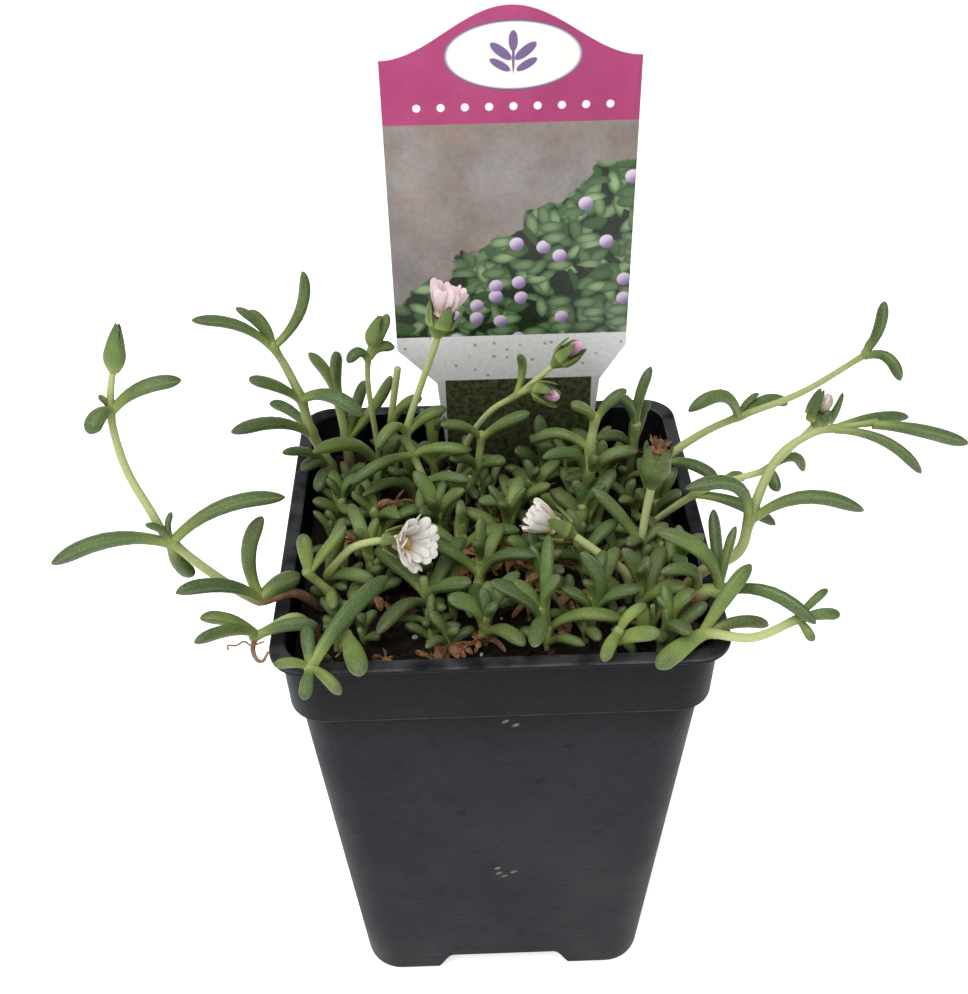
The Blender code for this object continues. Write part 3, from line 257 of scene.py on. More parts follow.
LOBE_STEPS = (0.0, 0.15, 0.35, 0.55, 0.72, 0.85, 0.94, 1.0)
LOBE_WIDTH = 1.2
LOBE_THICK = 0.3
SEPAL_WIDTH = 1.25
SEPAL_THICK = 0.2
SEPAL_LEAN = Vector((0.5, 0.0, 0.0))
SEPAL_TIP_OUT = 0.2
SEPAL_STAGGER = 0.08
SEPAL_BASE = 0.9
CLOSED_BUD_SHARE = 0.95
SHORTER_LOBE = 0.8
# Turns, in radians: of the first sepal, lobe, rib, furled strip and spike, and from one ring of
# stamens to the next
SEPAL_TURN = 0.6
LOBE_TURN = 0.3
RIB_TURN = 0.5
FURLED_TURN = 0.4
CROWN_TURN = 0.2
STAMEN_TURN = 0.7
BUD_STALK_RADIUS = 0.7
CALYX_SHADE = 0.6
HORN_SHADE = 0.1
HORN_THICK = 0.8
HORN_LOW = 0.35
HORN_LEAN = 0.75
PALE_BUD_SHARE = 0.8
FAR = 60.0
CROWN_SPIKES = 24
CROWN_HEIGHT = 0.9
CROWN_RADIUS = 1.7
CROWN_REACHES = (0.5, 2.0)
CROWN_WIDTHS = (0.45, 0.85)
CROWN_ROOT_HEIGHT = 0.4
CROWN_ROOTS = (0.3, 1.1)
CROWN_TIPS = (1.0, 2.4)
CROWN_SLANTS = (-0.9, 0.9)
CROWN_CURL_AT = 0.6
CROWN_LIFTS = (0.0, 0.6)
CROWN_CURLS = (-0.8, 0.8)
DEAD_AGE = 1.5
# A dead tendril and a thread at the left front of the pot
DRY_TENDRIL = [(-46, -37, 119), (-46.4, -39.5, 118.2), (-45.8, -40.7, 116.7), (-44.6, -41.0, 116.4),
               (-43.4, -40.7, 118.4)]
TENDRIL_THICK = 0.55
TENDRIL_THIN = 0.25
DRY_THREAD = [(-44.2, -39.0, 119.5), (-46.5, -39.4, 119.0), (-47.9, -39.0, 119.7), (-49.5, -39.0, 118.7),
              (-51.0, -39.0, 118.8), (-51.1, -39.2, 117.8)]
THREAD_RADIUS = 0.18

# Petals and stamens: each row of petals has a count, shares of the full length and flare, and a turn,
# and each ring of stamens a count and shares of the full radius and height
DISC_SHARE = 0.62
DISC_HEIGHT = 0.9
PETAL_ROWS = ((16, 1.0, 1.0, 0.12), (13, 0.92, 0.72, 0.33))
PETAL_STEPS = (0.0, 0.12, 0.26, 0.42, 0.58, 0.72, 0.83, 0.91, 0.97, 1.0)
PETAL_WIDEST_AT = 0.65
PETAL_TIP_FROM = 0.84
PETAL_BLUNTNESS = 0.5
PETAL_SPREAD = {"white": 1.1, "pink": 1.05}
PETAL_SIDES = 8
PETAL_TOP = 0.08
PETAL_KEEL = 0.12
PETAL_SLOTS = {"white": "petal_white", "pink": "petal_pink", "pink_bud": "bud_pink",
               "pale_bud": "petal_white"}
FURLED_STRIPS = 7
FURLED_CORE = (0.92, 0.72)
FURLED_TOPS = (0.88, 1.0)
FURLED_OPENINGS = (0.1, 0.3)
FURLED_WIDTH = 1.1
FURLED_BASE = 0.75
# Where a strip or petal leaves its seat, and where its middle is: shares of its height, then outwards
FURLED_ROOT_OUT = 0.45
FURLED_MIDDLE = (0.5, 1.25)
PETAL_BASE = 0.35
PETAL_FOOT = (0.55, 0.75)
PETAL_MIDDLE = (0.45, 1.3)
PETAL_REACHES = (0.84, 1.0)
PETAL_FLARES = (0.82, 1.0)
PETAL_WIDTHS = (0.85, 1.15)
PETAL_SIDEWAYS = 0.6
PETAL_TWIST = 0.35
STAMEN_RADIUS = 1.3
STAMEN_HEIGHT = 2.8
STAMEN_REACHES = (0.85, 1.0)
STAMEN_SPREADS = (0.8, 1.05)
STAMEN_SINK = 0.2
STAMEN_FOOT = 0.75
STAMEN_RINGS = ((5, 0.25, 1.0), (8, 0.62, 0.92), (11, 1.0, 0.8))
STAMEN_STEPS = (0.0, 0.35, 0.66, 0.76, 0.86, 0.95, 1.0)
STAMEN_RADII = (0.1, 0.09, 0.09, 0.2, 0.32, 0.26, 0.1)

# Little sprouts and litter between the shoots; the hollow at the left front is bare soil
HOLLOW = (-20.8, -25.5, 5.0, 9.5)
FILLER_SEED = 12
FILLER_SPACING = 8.0
FILLER_SHIFT = 2.6
FILLER_TURN = 20
FILLER_RISES = (15, 40)
FILLER_STEEPER = 18
FILLER_BOWS = (0.05, 0.2)
FILLER_RADII = (0.6, 0.55)
TAG_MARGIN = 3.0
FILLER_HALF = 37.5
FILLER_HEIGHTS = (3.0, 7.5)
FILLER_LENGTHS = (5.5, 10.0)
FILLER_WIDTHS = (1.9, 2.8)
FILLER_CLEARANCE = 0.1
FILLER_STEPS = (0.0, 0.14, 0.34, 0.56, 0.76, 0.88, 0.96, 1.0)
FILLER_SIDES = 8
FILLER_DRIFT = 0.4
FILLER_DEPTH = 1.0
FILLER_UPPER = 0.8
FILLER_LIGHTEST = 0.8
FILLER_OLDEST = 0.45
FILLER_BARK = 0.4
LOOKS_SEED = 5
SHEET_STEP = 1.0
LITTER_HALF = 39.3
CLEARING = (5.0, -10.0, 13.0, 19.0)
CLEARING_SHARE = 0.85

# Clumps of withered leaves: place in plan, height over the soil, length of the longest leaf
DEAD_CLUMPS = [
    (-2.0, 4.0, 6.5, 6.0), (1.0, -8.0, 11.0, 8.5), (9.5, -20.5, 9.0, 9.0), (6.5, -25.0, 8.0, 9.0),
    (-4.5, -32.5, 3.0, 10.0), (-12.5, -36.0, 2.0, 7.0), (-29.0, 1.0, 7.5, 8.0), (-22.6, 11.0, 7.0, 7.0),
    (-19.0, 3.0, 6.5, 5.5), (-1.5, 10.0, 7.0, 5.5), (-23.5, -17.5, 3.5, 6.0), (11.5, -11.5, 6.0, 6.0),
    (33.5, -16.0, 8.0, 9.0), (-22.0, -35.5, 1.5, 6.0), (25.5, -12.0, 5.0, 6.0), (19.0, 9.0, 6.0, 6.0),
    (14.0, -32.0, 3.0, 5.5), (-31.0, 24.0, 7.0, 7.0), (29.0, -31.5, 4.0, 6.0), (-3.5, -12.5, 10.0, 8.0),
    (5.0, -14.5, 10.0, 8.5), (13.0, -12.5, 10.5, 8.0), (15.0, -25.5, 8.0, 7.0), (10.0, 1.0, 11.0, 7.0),
    (20.0, 11.5, 10.0, 6.5), (-9.0, -34.0, 3.5, 7.0), (32.0, -22.0, 8.5, 6.5), (-28.5, -3.0, 9.0, 7.0),
    (-22.5, 8.5, 9.5, 7.0),
]
DEAD_LEAVES_EACH = 8
DEAD_STALK_RADII = (0.45, 0.3)
DEAD_WIDTHS = (0.9, 2.4)
DEAD_REACHES = (0.25, 0.7)
DEAD_LEANS = (-1.5, 1.5)
DEAD_STARTS = (0.5, 1.0)
DEAD_MIDDLE = 0.6
DEAD_BOWS = (0.0, 2.6)
DEAD_DROOPS = (-2.5, 1.0)
DEAD_CURLS = (-3.0, 3.0)
DEAD_TWISTS = (-2.5, 2.5)

# Kinds of crumb: name, finish, spacing, number to a square metre, least and greatest size, tilt in
# radians, roughness, seed, and how finely the round ones are made
CRUMBS = [
    ("peat_crumbs", "peat", 0.7, 620000, (0.7, 0.7, 0.5), (2.2, 1.8, 1.3), 0.5, 0.5, 3),
    ("bark_chips", "bark", 3.2, 60000, (1.8, 1.2, 0.5), (5.0, 2.6, 1.0), 0.5, 0.6, 11, 2),
    ("straw_bits", "straw", 5.0, 12000, (2.0, 0.4, 0.3), (6.0, 0.8, 0.5), 0.35, 0.2, 23),
    ("perlite_grains", "perlite", 6.0, 9000, (0.7, 0.7, 0.6), (1.6, 1.3, 1.2), 0.6, 0.3, 31, 2),
]

# Stage
FLOOR_HALF = 1500.0
FLOOR_THICKNESS = 5.0
SKY_STRENGTH = 0.45
FLOOR_GLOW = 0.62
KEY_AT = (-0.25, -0.4, 1.1)
KEY_AIM = (0.0, 0.0, 0.12)
KEY_SIZE = 1.0
KEY_POWER = 11.5

Leaf = namedtuple("Leaf", "at heading rise length width bow sideways", defaults=(3.6, 0.12, 0.0))
Shoot = namedtuple("Shoot", "name radii path leaves")
Flower = namedtuple("Flower", "name shoot axis radius cup lobe flare petals")
Petals = namedtuple("Petals", "colour open length width flare lift", defaults=(0.0, 1.0))

# Long stems: their radius at foot and end, and points from the soil to the last pair of leaves. A leaf
# is the stem point that it grows from, its heading, its rise, its length, its width, and how far its
# middle bows up and to its left, as shares of its length.
LONG_SHOOTS = [
    Shoot(
        "runner_left", (1.05, 0.55),
        [(-35, -16, 105), (-40, -24, 118), (-46, -29, 121), (-52, -30, 127), (-60, -30, 137),
         (-63, -29, 144), (-66, -27, 151), (-67, -26, 158), (-67, -25, 163), (-66, -24.5, 168),
         (-65, -24, 171)],
        [Leaf(2, 65, 72, 17.5, 3.2, 0.02, 0.16), Leaf(2, -145, 33, 19, 3.2), Leaf(2, 45, -2, 10, 4.0),
         Leaf(4, -161, 3, 21.5, 3.6, 0.16), Leaf(4, 20, 9, 22.5, 3.6, 0.16),
         Leaf(4, 55, -72, 11, 3.0, -0.1), Leaf(4, 0, 80, 7, 1.3), Leaf(4, -150, 55, 7, 1.6),
         Leaf(8, 13, 16, 13.5, 3.2, 0.14), Leaf(8, -110, -6, 7, 3.2, 0.2), Leaf(8, -170, 65, 3.5, 1.3)]),
    Shoot(
        "shoot_left_low", (1.0, 0.8),
        [(-35.5, -26, 106), (-39, -31, 118), (-46, -37, 119)],
        [Leaf(2, -172, 33, 11.5, 2.8), Leaf(2, -135, 30, 15, 2.6), Leaf(2, 5, 6, 12, 2.9)]),
    Shoot(
        "shoot_left_back", (1.25, 0.8),
        [(-34.5, 21, 105), (-36, 19, 117), (-39, 17, 128), (-40, 15, 138), (-42, 14, 146), (-44, 13, 152)],
        [Leaf(5, -153, 34, 19, 2.7), Leaf(5, 30, 61, 17, 2.7, -0.16), Leaf(5, 172, 52, 11, 2.0),
         Leaf(5, 165, 62, 9, 2.6), Leaf(3, -142, 40, 15, 3.1, 0.06), Leaf(3, -28, -2, 15.5, 3.3, 0.2),
         Leaf(2, 145, 16, 12, 2.8, 0.16), Leaf(2, -141, 24, 21, 3.1), Leaf(1, -132, 40, 17, 2.4),
         Leaf(1, -131, 24, 9.5, 2.8, 0.2), Leaf(1, -105, -4, 9, 3.1)]),
    Shoot(
        "shoot_back_left", (1.3, 0.9),
        [(-33, 31, 105), (-33, 29.5, 117), (-34, 29, 128)],
        [Leaf(2, 160, 62, 13, 2.9), Leaf(2, -60, 80, 14, 3.3), Leaf(1, 15, 70, 16, 2.8, 0.02),
         Leaf(1, 5, 55, 20, 2.9, -0.04)]),
    Shoot(
        "stalk_green_bud", (0.7, 0.5),
        [(-24, 27, 105), (-25, 23, 113), (-25, 17, 126), (-25.5, 14, 141), (-25, 14, 148),
         (-24, 14, 152)],
        [Leaf(4, 22, 62, 10.5, 2.6, 0.0), Leaf(4, -133, 14, 6, 2.4, 0.35), Leaf(4, 25, 6, 6, 2.4, 0.3),
         Leaf(1, -132, 38, 25, 3.3, 0.16), Leaf(1, -61, 55, 17, 3.4, 0.04)]),
    Shoot(
        "stalk_bare", (0.7, 0.8),
        [(-19, 31, 105), (-21, 28, 116), (-22, 26, 124), (-20, 26, 137)],
        [Leaf(2, -20, 45, 11, 2.6)]),
    Shoot(
        "stalk_pink_flower", (0.9, 0.65),
        [(-17, 19, 105), (-15, 12, 117), (-17, 13, 124), (-18, 13, 130), (-15, 13, 140),
         (-11, 12, 152), (-10.5, 12, 154.5)],
        [Leaf(1, -22, 15, 11.5, 2.8), Leaf(1, -97, -20, 7.5, 2.6), Leaf(2, -146, -4, 16, 3.1),
         Leaf(2, -13, 10, 13, 2.8), Leaf(3, -124, 10, 11, 2.6, 0.3), Leaf(3, 19, 22, 10, 2.8),
         Leaf(0, -126, 26, 24, 2.6, 0.2)]),
    Shoot(
        "stalk_pink_buds", (0.75, 0.6),
        [(-8, 27, 105), (-5, 24, 119), (0, 21, 129), (6, 20, 134), (11, 20, 138.5), (14, 20, 141.5)],
        [Leaf(3, -172, 55, 9.5, 2.0, 0.3)]),
    Shoot(
        "shoot_centre_back", (1.0, 0.8),
        [(-5, 22, 105), (-3, 17, 117), (-2, 16, 126)],
        [Leaf(2, -156, 32, 11.5, 2.6), Leaf(2, -11, 34, 13, 2.8, 0.06), Leaf(1, -130, 27, 12, 2.8),
         Leaf(1, -28, 27, 8, 2.8)]),
    Shoot(
        "shoot_centre_tall", (1.2, 0.9),
        [(21, 15, 106), (21, 9, 120), (21, 9, 127), (22, 10, 134)],
        [Leaf(3, -165, 40, 7.5, 2.8), Leaf(3, 19, 38, 9, 2.6), Leaf(2, 160, -6, 13.5, 2.8, 0.25),
         Leaf(1, -158, 34, 14, 2.8, 0.25), Leaf(1, 0, 29, 12, 2.9, 0.2), Leaf(1, -78, 60, 8, 2.9),
         Leaf(0, -60, 62, 12, 2.8)]),
    Shoot(
        "shoot_back_right", (1.1, 0.9),
        [(33, 29, 105), (33, 26, 114), (33, 24, 122)],
        [Leaf(2, 46, 72, 14.5, 2.8), Leaf(2, -153, 62, 11, 2.8), Leaf(1, 0, 76, 14, 2.8),
         Leaf(1, -156, 31, 12, 2.8, 0.2), Leaf(1, 60, 55, 10, 2.8)]),
    Shoot(
        "stalk_flower_left", (0.9, 0.75),
        [(-34, -10, 106), (-34, -17, 116), (-32, -18, 120), (-28.5, -18, 124), (-24, -18, 125.5),
         (-22, -17.5, 125)],
        [Leaf(1, -22, 8, 10.5, 2.9), Leaf(1, 60, 52, 12, 2.9)]),
    Shoot(
        "stalk_flower_right", (0.95, 0.85),
        [(27, -18.5, 106), (26, -19.5, 116), (20.5, -18, 120.5), (16.5, -17, 123.5), (15, -16.5, 124.5)],
        []),
    Shoot(
        "stalk_capsule", (0.85, 0.85),
        [(32, -5, 106), (30.5, -9, 115), (31, -8, 122), (32, -7, 129)],
        [Leaf(1, 149, 41, 16, 2.8, 0.06), Leaf(1, 21, 28, 7, 2.6), Leaf(1, -120, 35, 10, 2.8)]),
    Shoot(
        "runner_right", (1.0, 0.6),
        [(34, 17, 106), (38, 12, 121), (45, 11.5, 128), (53, 12, 132), (65, 10, 139), (76, 8, 149)],
        [Leaf(5, 0, 82, 12.5, 2.6, -0.1), Leaf(5, -47, -17, 9, 2.8, 0.35), Leaf(5, 20, 60, 4.5, 1.6),
         Leaf(3, -154, 22, 15, 3.1, 0.3), Leaf(3, 15, 51, 6.5, 1.6), Leaf(3, 19, 0, 12, 2.9, 0.22),
         Leaf(1, -38, 2, 13, 2.8)]),
    Shoot(
        "stalk_pale_bud", (0.8, 0.6),
        [(33, 6, 106), (38, -1, 118), (42, -4, 124), (46, -6, 128), (50, -8, 131), (55, -8, 133),
         (59, -8, 138), (63, -8, 143.6)],
        [Leaf(2, -21, -14, 17.5, 2.9, 0.1), Leaf(3, 35, -20, 8, 2.2, 0.2), Leaf(5, -83, -10, 6.5, 2.8),
         Leaf(5, 20, -22, 9.5, 2.4, 0.35)]),
    Shoot(
        "runner_right_front", (1.25, 0.55),
        [(35.5, -19.5, 106), (39.5, -23.5, 119), (47, -23, 124), (49, -21, 131), (52, -18, 139),
         (55, -17, 144), (60, -16, 147), (64, -16, 148), (71, -16, 149)],
        [Leaf(3, -168, 34, 17.5, 3.3, 0.3), Leaf(3, -8, 8, 21.5, 3.3, 0.22), Leaf(8, -7, -12, 19, 3.3, 0.05),
         Leaf(7, 20, -7, 17.5, 2.2, 0.06), Leaf(7, -21, -22, 18.5, 2.6, 0.16)]),
    Shoot(
        "shoot_right_arched", (1.4, 1.2),
        [(36, -25, 107), (39.3, -28, 118), (43, -29.5, 120)],
        [Leaf(2, 167, 43, 19, 3.3, 0.2), Leaf(1, -165, 40, 12, 2.8, 0.3), Leaf(2, -36, -9, 19.5, 3.1, 0.22),
         Leaf(2, 95, 38, 16, 2.6, 0.02), Leaf(2, 62, 27, 13.5, 2.2, 0.12)]),
    Shoot(
        "runner_right_low", (1.0, 0.8),
        [(33, -33, 108), (38, -39.5, 118.4), (47, -41, 118.4), (56, -38, 120)],
        [Leaf(3, 60, 70, 8, 1.8, 0.06), Leaf(3, 30, 32, 8, 1.8, 0.06), Leaf(3, -10, 2, 8, 2.6, 0.12),
         Leaf(3, -55, -32, 5, 2.2, 0.1),
         Leaf(1, 35, 22, 16, 3.1, 0.05), Leaf(1, -140, -1, 13, 3.8, 0.05), Leaf(1, 15, -8, 14, 2.6, 0.14)]),
    Shoot(
        "shoot_front_right", (1.0, 0.8),
        [(22, -34, 109), (21, -38, 115), (22, -39, 119)],
        [Leaf(2, -114, 4, 9, 2.8, 0.1), Leaf(2, 27, 32, 7.5, 2.6, 0.2), Leaf(1, -30, 12, 12, 3.3, 0.08)]),
    Shoot(
        "shoot_front_left", (1.1, 0.9),
        [(-34, -33, 108), (-35, -40, 117.5), (-35, -46, 119.5)],
        [Leaf(2, 53, 0, 24, 3.6, 0.1), Leaf(2, 97, 15, 8, 2.8), Leaf(2, -42, -16, 8, 2.6),
         Leaf(2, -96, -12, 7, 2.6, 0.06), Leaf(2, -165, 20, 7, 2.2)]),
    Shoot(
        "shoot_front_left_broad", (1.1, 1.0),
        [(-31, -30, 108), (-29.5, -34, 114), (-29, -38, 119.5)],
        [Leaf(2, -85, 4, 12, 4.3, 0.08)]),
    Shoot(
        "shoot_left_inner", (1.0, 0.8),
        [(-31, -17, 106), (-33.5, -21, 115), (-37, -23, 122)],
        [Leaf(2, 35, 38, 12, 2.6, 0.02), Leaf(2, 101, 44, 8, 3.4, 0.05), Leaf(1, -80, 20, 9, 2.6)]),
]

# Flowers and buds: the stalk, the way that they face, half width of the green cup, its height, the
# length of its five lobes, and how far the lobes' tips open as a share of the cup's half width. Petals
# have a colour, are open or furled, and have a length, a width, how far their tips stand out, and how
# high the tips rise as a share of the length.
FLOWERS = [
    Flower("pink_flower", "stalk_pink_flower", (0.30, 0.25, 0.92), 3.0, 4.2, 3.6, 1.25,
           Petals("pink", True, 7.4, 1.9, 4.0, 0.95)),
    Flower("flower_left", "stalk_flower_left", (0.75, -0.55, 0.35), 2.6, 3.6, 3.4, 1.35,
           Petals("white", True, 8.5, 2.1, 6.2, 0.8)),
    Flower("flower_right", "stalk_flower_right", (-0.86, 0.10, 0.50), 3.0, 4.0, 3.8, 1.3,
           Petals("white", True, 7.2, 1.8, 3.6, 0.95)),
    Flower("pink_bud_upper", "stalk_pink_buds", (0.72, -0.05, 0.70), 2.4, 4.4, 3.6, 1.0,
           Petals("pink_bud", False, 4.2, 1.4)),
    Flower("pink_bud_lower", "stalk_pink_buds", (0.75, -0.62, 0.05), 2.3, 4.2, 3.4, 1.1,
           Petals("pink_bud", False, 3.6, 1.3)),
    Flower("pale_bud", "stalk_pale_bud", (0.25, 0.0, 0.97), 2.4, 3.6, 5.4, 1.15,
           Petals("pale_bud", False, 4.8, 1.4)),
    Flower("green_bud_left", "runner_left", (0.22, 0.0, 0.98), 2.1, 9.4, 0.0, 0.0, None),
    Flower("green_bud_back", "stalk_green_bud", (0.30, 0.05, 0.95), 1.9, 6.8, 0.0, 0.0, None),
]
LOWER_BUD_STALK = ((6, 20, 134), (9, 18.5, 136.5))

# Short shoots that fill the pot: root in plan, heading of the first pair of leaves, leaf length
SHORT_SHOOTS = [
    ("front_centre_left", -14, -22, 50, 17), ("centre_upright", -8, -5, 80, 14),
    ("centre", 2, -2, 165, 14), ("centre_back_pair", 10, 15, 124, 11),
    ("centre_right", 21, 4, 160, 13), ("front_centre", -4, -18, 75, 15),
    ("front_edge_left", -3, -31, 120, 12), ("front_edge", 10, -31, 175, 17),
    ("front_edge_right", 18, -29, 60, 15), ("front_right_inner", 28, -27, 70, 14),
    ("right_of_centre", 19, -11, 130, 13), ("middle", 7, -13, 106, 11),
    ("middle_front", 9, -21, 20, 12), ("front_right_corner", 31, -36, 10, 13),
    ("right_edge", 37, -12, 100, 12), ("right_back_edge", 37, 7, 30, 13),
    ("left_of_centre", -25, -11, 35, 14), ("centre_left", -12, 5, 64, 14),
    ("centre_far", 4, 9, 110, 12), ("left_edge", -34, 9, 194, 12),
    ("back_centre", 12, 28, 20, 12), ("right_middle", 26, 20, 45, 14),
    ("back_left", -13, 30, 150, 12), ("left_middle", -24, 6, 20, 13),
]
SHORT_SEED = 41
SHORT_STEM = 8.5
SHORT_RADII = (1.0, 0.85)
SHORT_STEM_SPREAD = (0.85, 1.25)
SHORT_REACHES = (0.5, 2.5)
SHORT_BOWS = (0.06, 0.2)
SHORT_FOOT = 0.5
SHORT_PAIRS = 3
PAIR_RISES = (14, 32, 60)
PAIR_SHRINK = (1.0, 0.95, 0.6)
PAIR_WIDTHS = (3.4, 3.3, 2.6)
# How far a leaf of a pair may differ from it: in heading, rise, length and width
PAIR_SPREADS = ((-14, 14), (-8, 10), (0.85, 1.1), (0.9, 1.12))


# Lines

def circle(centre, axis, radius, sides):
    across = axis.orthogonal().normalized()
    other = axis.cross(across)
    angles = [2 * math.pi * side / sides for side in range(sides)]
    return [centre + across * (radius * math.cos(a)) + other * (radius * math.sin(a)) for a in angles]


def smooth_path(points, per_span):
    """Points along a Catmull-Rom curve through the given ones."""
    points = [Vector(point) for point in points]
    padded = [2 * points[0] - points[1]] + points + [2 * points[-1] - points[-2]]
    path = []
    for index in range(1, len(padded) - 2):
        before, start, end, after = padded[index - 1:index + 3]
        for step in range(per_span):
            t = step / per_span
            path.append(0.5 * (2 * start + (end - before) * t
                               + (2 * before - 5 * start + 4 * end - after) * t ** 2
                               + (3 * start - before - 3 * end + after) * t ** 3))
    path.append(points[-1])
    return path


def on_curve(curve, t):
    start, control, end = curve
    return start * (1 - t) ** 2 + control * 2 * t * (1 - t) + end * t ** 2


def curve_axis(curve, t):
    start, control, end = curve
    return ((control - start) * (1 - t) + (end - control) * t).normalized()


def spread(axis, count, turn=0.0):
    """Directions round an axis."""
    across = axis.orthogonal().normalized()
    other = axis.cross(across)
    angles = [turn + 2 * math.pi * index / count for index in range(count)]
    return [across * math.cos(a) + other * math.sin(a) for a in angles]


# Where every shoot and leaf stands

def soil_top(x, y):
    """Height of the soil: higher along the front, a low dome and small lumps."""
    forward = min(max((SOIL_RISE_FROM - y) / SOIL_RISE_RUN, 0.0), 1.0)
    rise = SOIL_FRONT_RISE * forward * forward * (3 - 2 * forward)
    dome = SOIL_DOME * (1 - (x / SOIL_HALF) ** 2) * (1 - (y / SOIL_HALF) ** 2)
    lumps = SOIL_LUMP * (math.sin(0.52 * x + 1.0) * math.cos(0.47 * y) + math.sin(0.31 * y - 0.23 * x))
    return SOIL_BACK + rise + dome + lumps


def stem_radius(shoot, at):
    first, last = shoot.radii
    return first + (last - first) * at / (len(shoot.path) - 1)


def root_axis(shoot):
    return (Vector(shoot.path[1]) - Vector(shoot.path[0])).normalized()


def stem_line(shoot, per_span=1):
    """Points and radii up a stem, from its straight root in the soil to just past its last leaves."""
    points = smooth_path(shoot.path, per_span)
    radii = [stem_radius(shoot, index / per_span) for index in range(len(points))]
    points[-1] = points[-1] + (points[-1] - points[-2]).normalized() * STEM_REACH
    points.insert(0, points[0] - root_axis(shoot) * STEM_DEPTH)
    radii.insert(0, radii[0])
    return points, radii


def leaf_curve(shoot, leaf):
    """Start, control point and tip of a leaf's middle line; it starts inside the stem, on its own side."""
    base = Vector(shoot.path[leaf.at])
    below = Vector(shoot.path[max(leaf.at - 1, 0)])
    above = Vector(shoot.path[min(leaf.at + 1, len(shoot.path) - 1)])
    stem = (above - below).normalized()
    heading = math.radians(leaf.heading)
    rise = math.radians(leaf.rise)
    out = Vector((math.cos(heading), math.sin(heading), 0))
    left = Vector((-math.sin(heading), math.cos(heading), 0))
    along = out * math.cos(rise) + UP * math.sin(rise)
    over = UP * math.cos(rise) - out * math.sin(rise)
    own_side = (along - stem * along.dot(stem)).normalized()
    start = base + own_side * (stem_radius(shoot, leaf.at) * LEAF_SEAT)
    tip = base + along * leaf.length
    control = base + along * leaf.length / 2 + (over * leaf.bow + left * leaf.sideways) * 2 * leaf.length
    return start, control, tip


def leaf_face(shoot, leaf):
    """The point that a leaf's flat side turns to: on the stem's line, a leaf's length above it."""
    base = Vector(shoot.path[leaf.at])
    below = Vector(shoot.path[leaf.at - 1]) if leaf.at > 0 else base - UP
    return base + (base - below).normalized() * leaf.length


class Room:
    """Balls along everything placed so far, each with the node that owns it."""

    def __init__(self):
        self.clearance = CLEARANCE
        self.centres = np.empty((0, 3))
        self.radii = np.empty(0)
        self.owners = np.empty(0, dtype="U32")

    def add(self, owner, chain):
        self.centres = np.vstack([self.centres, [tuple(centre) for centre, _ in chain]])
        self.radii = np.append(self.radii, [radius for _, radius in chain])
        self.owners = np.append(self.owners, [owner] * len(chain))

    def clear(self, owner, chain):
        others = self.owners != owner
        centres = self.centres[others]
        radii = self.radii[others]
        for centre, radius in chain:
            apart = np.linalg.norm(centres - np.array(centre), axis=1)
            if (apart < radii + radius + self.clearance).any():
                return False
        return True


def plan_distance(x, y, half, corner):
    """Distance in plan to a rounded square, negative inside it."""
    over_x = abs(x) - (half - corner)
    over_y = abs(y) - (half - corner)
    outside = math.hypot(max(over_x, 0.0), max(over_y, 0.0))
    return outside + min(max(over_x, over_y), 0.0) - corner


def clear_of_pot(chain):
    """Whether balls keep clear of the pot's wall and lip, the soil and the tag."""
    for centre, radius in chain:
        room = radius * FLATNESS + CLEARANCE
        inside = plan_distance(centre.x, centre.y, COLLAR_FOOT_HALF - WALL, LIP_CORNER - WALL)
        outside = plan_distance(centre.x, centre.y, LIP_HALF, LIP_CORNER)
        if centre.z < POT_HEIGHT + room and inside > -room and outside < room:
            return False
        if inside < 0 and centre.z < soil_top(centre.x, centre.y) + room:
            return False
        on_card = TAG_CARD_FOOT_Z - CARD_FOOT_MARGIN < centre.z and abs(centre.x - TAG_X) < TAG_HALF + room
        on_stake = centre.z < STAKE_TOP_Z + room and abs(centre.x - STAKE_X) < STAKE_HALF + room
        if abs(centre.y - TAG_Y) < room + TAG_THICKNESS / 2 and (on_card or on_stake):
            return False
    return True


def leaf_chain(shoot, leaf):
    """Balls along a leaf, from just outside its stem to its tip."""
    curve = leaf_curve(shoot, leaf)
    chain = []
    for step in range(1, CHAIN_STEPS + 1):
        t = step / CHAIN_STEPS
        grown = math.sin(math.pi * min(t / BALL_FULL_AT, 1.0) / 2)
        share = BALL_ROOT + (1 - BALL_ROOT) * grown if t < BALL_TIP_FROM else BALL_TIP
        chain.append((on_curve(curve, t), leaf.width * share / 2))
    return chain


def stem_chain(shoot):
    """Balls along a stem and its root, close enough together to leave no gap."""
    points, radii = stem_line(shoot, CHAIN_STEPS)
    root, foot = points[0], points[1]
    buried = [(root.lerp(foot, step / CHAIN_STEPS), radii[0] + GAP) for step in range(CHAIN_STEPS)]
    return buried + list(zip(points[1:], radii[1:]))


def flower_end(flower, shoots):
    """Where a flower's cup begins and the way that it faces."""
    if flower.name == "pink_bud_lower":
        return Vector(LOWER_BUD_STALK[1]), Vector(flower.axis).normalized()
    return Vector(shoots[flower.shoot].path[-1]), Vector(flower.axis).normalized()


def flower_chain(flower, shoots):
    base, axis = flower_end(flower, shoots)
    height = flower.cup + flower.lobe
    if flower.petals:
        height = max(height, flower.cup / 2 + flower.petals.length)
    chain = []
    for step in range(CHAIN_STEPS + 1):
        share = step / CHAIN_STEPS
        radius = flower.radius * FLOWER_MARGIN
        if flower.petals and share > FLOWER_OPENS_AT:
            radius = max(radius, flower.petals.flare * share)
        chain.append((base + axis * height * share, radius))
    return chain


def capsule_chain():
    base = Vector(CAPSULE_BASE)
    top = Vector(CAPSULE_TOP)
    radius = CAPSULE_RADIUS + CAPSULE_MARGIN
    return [(base.lerp(top, step / CHAIN_STEPS), radius) for step in range(CHAIN_STEPS + 1)]


def capsule_axis():
    return (Vector(CAPSULE_TOP) - Vector(CAPSULE_BASE)).normalized()


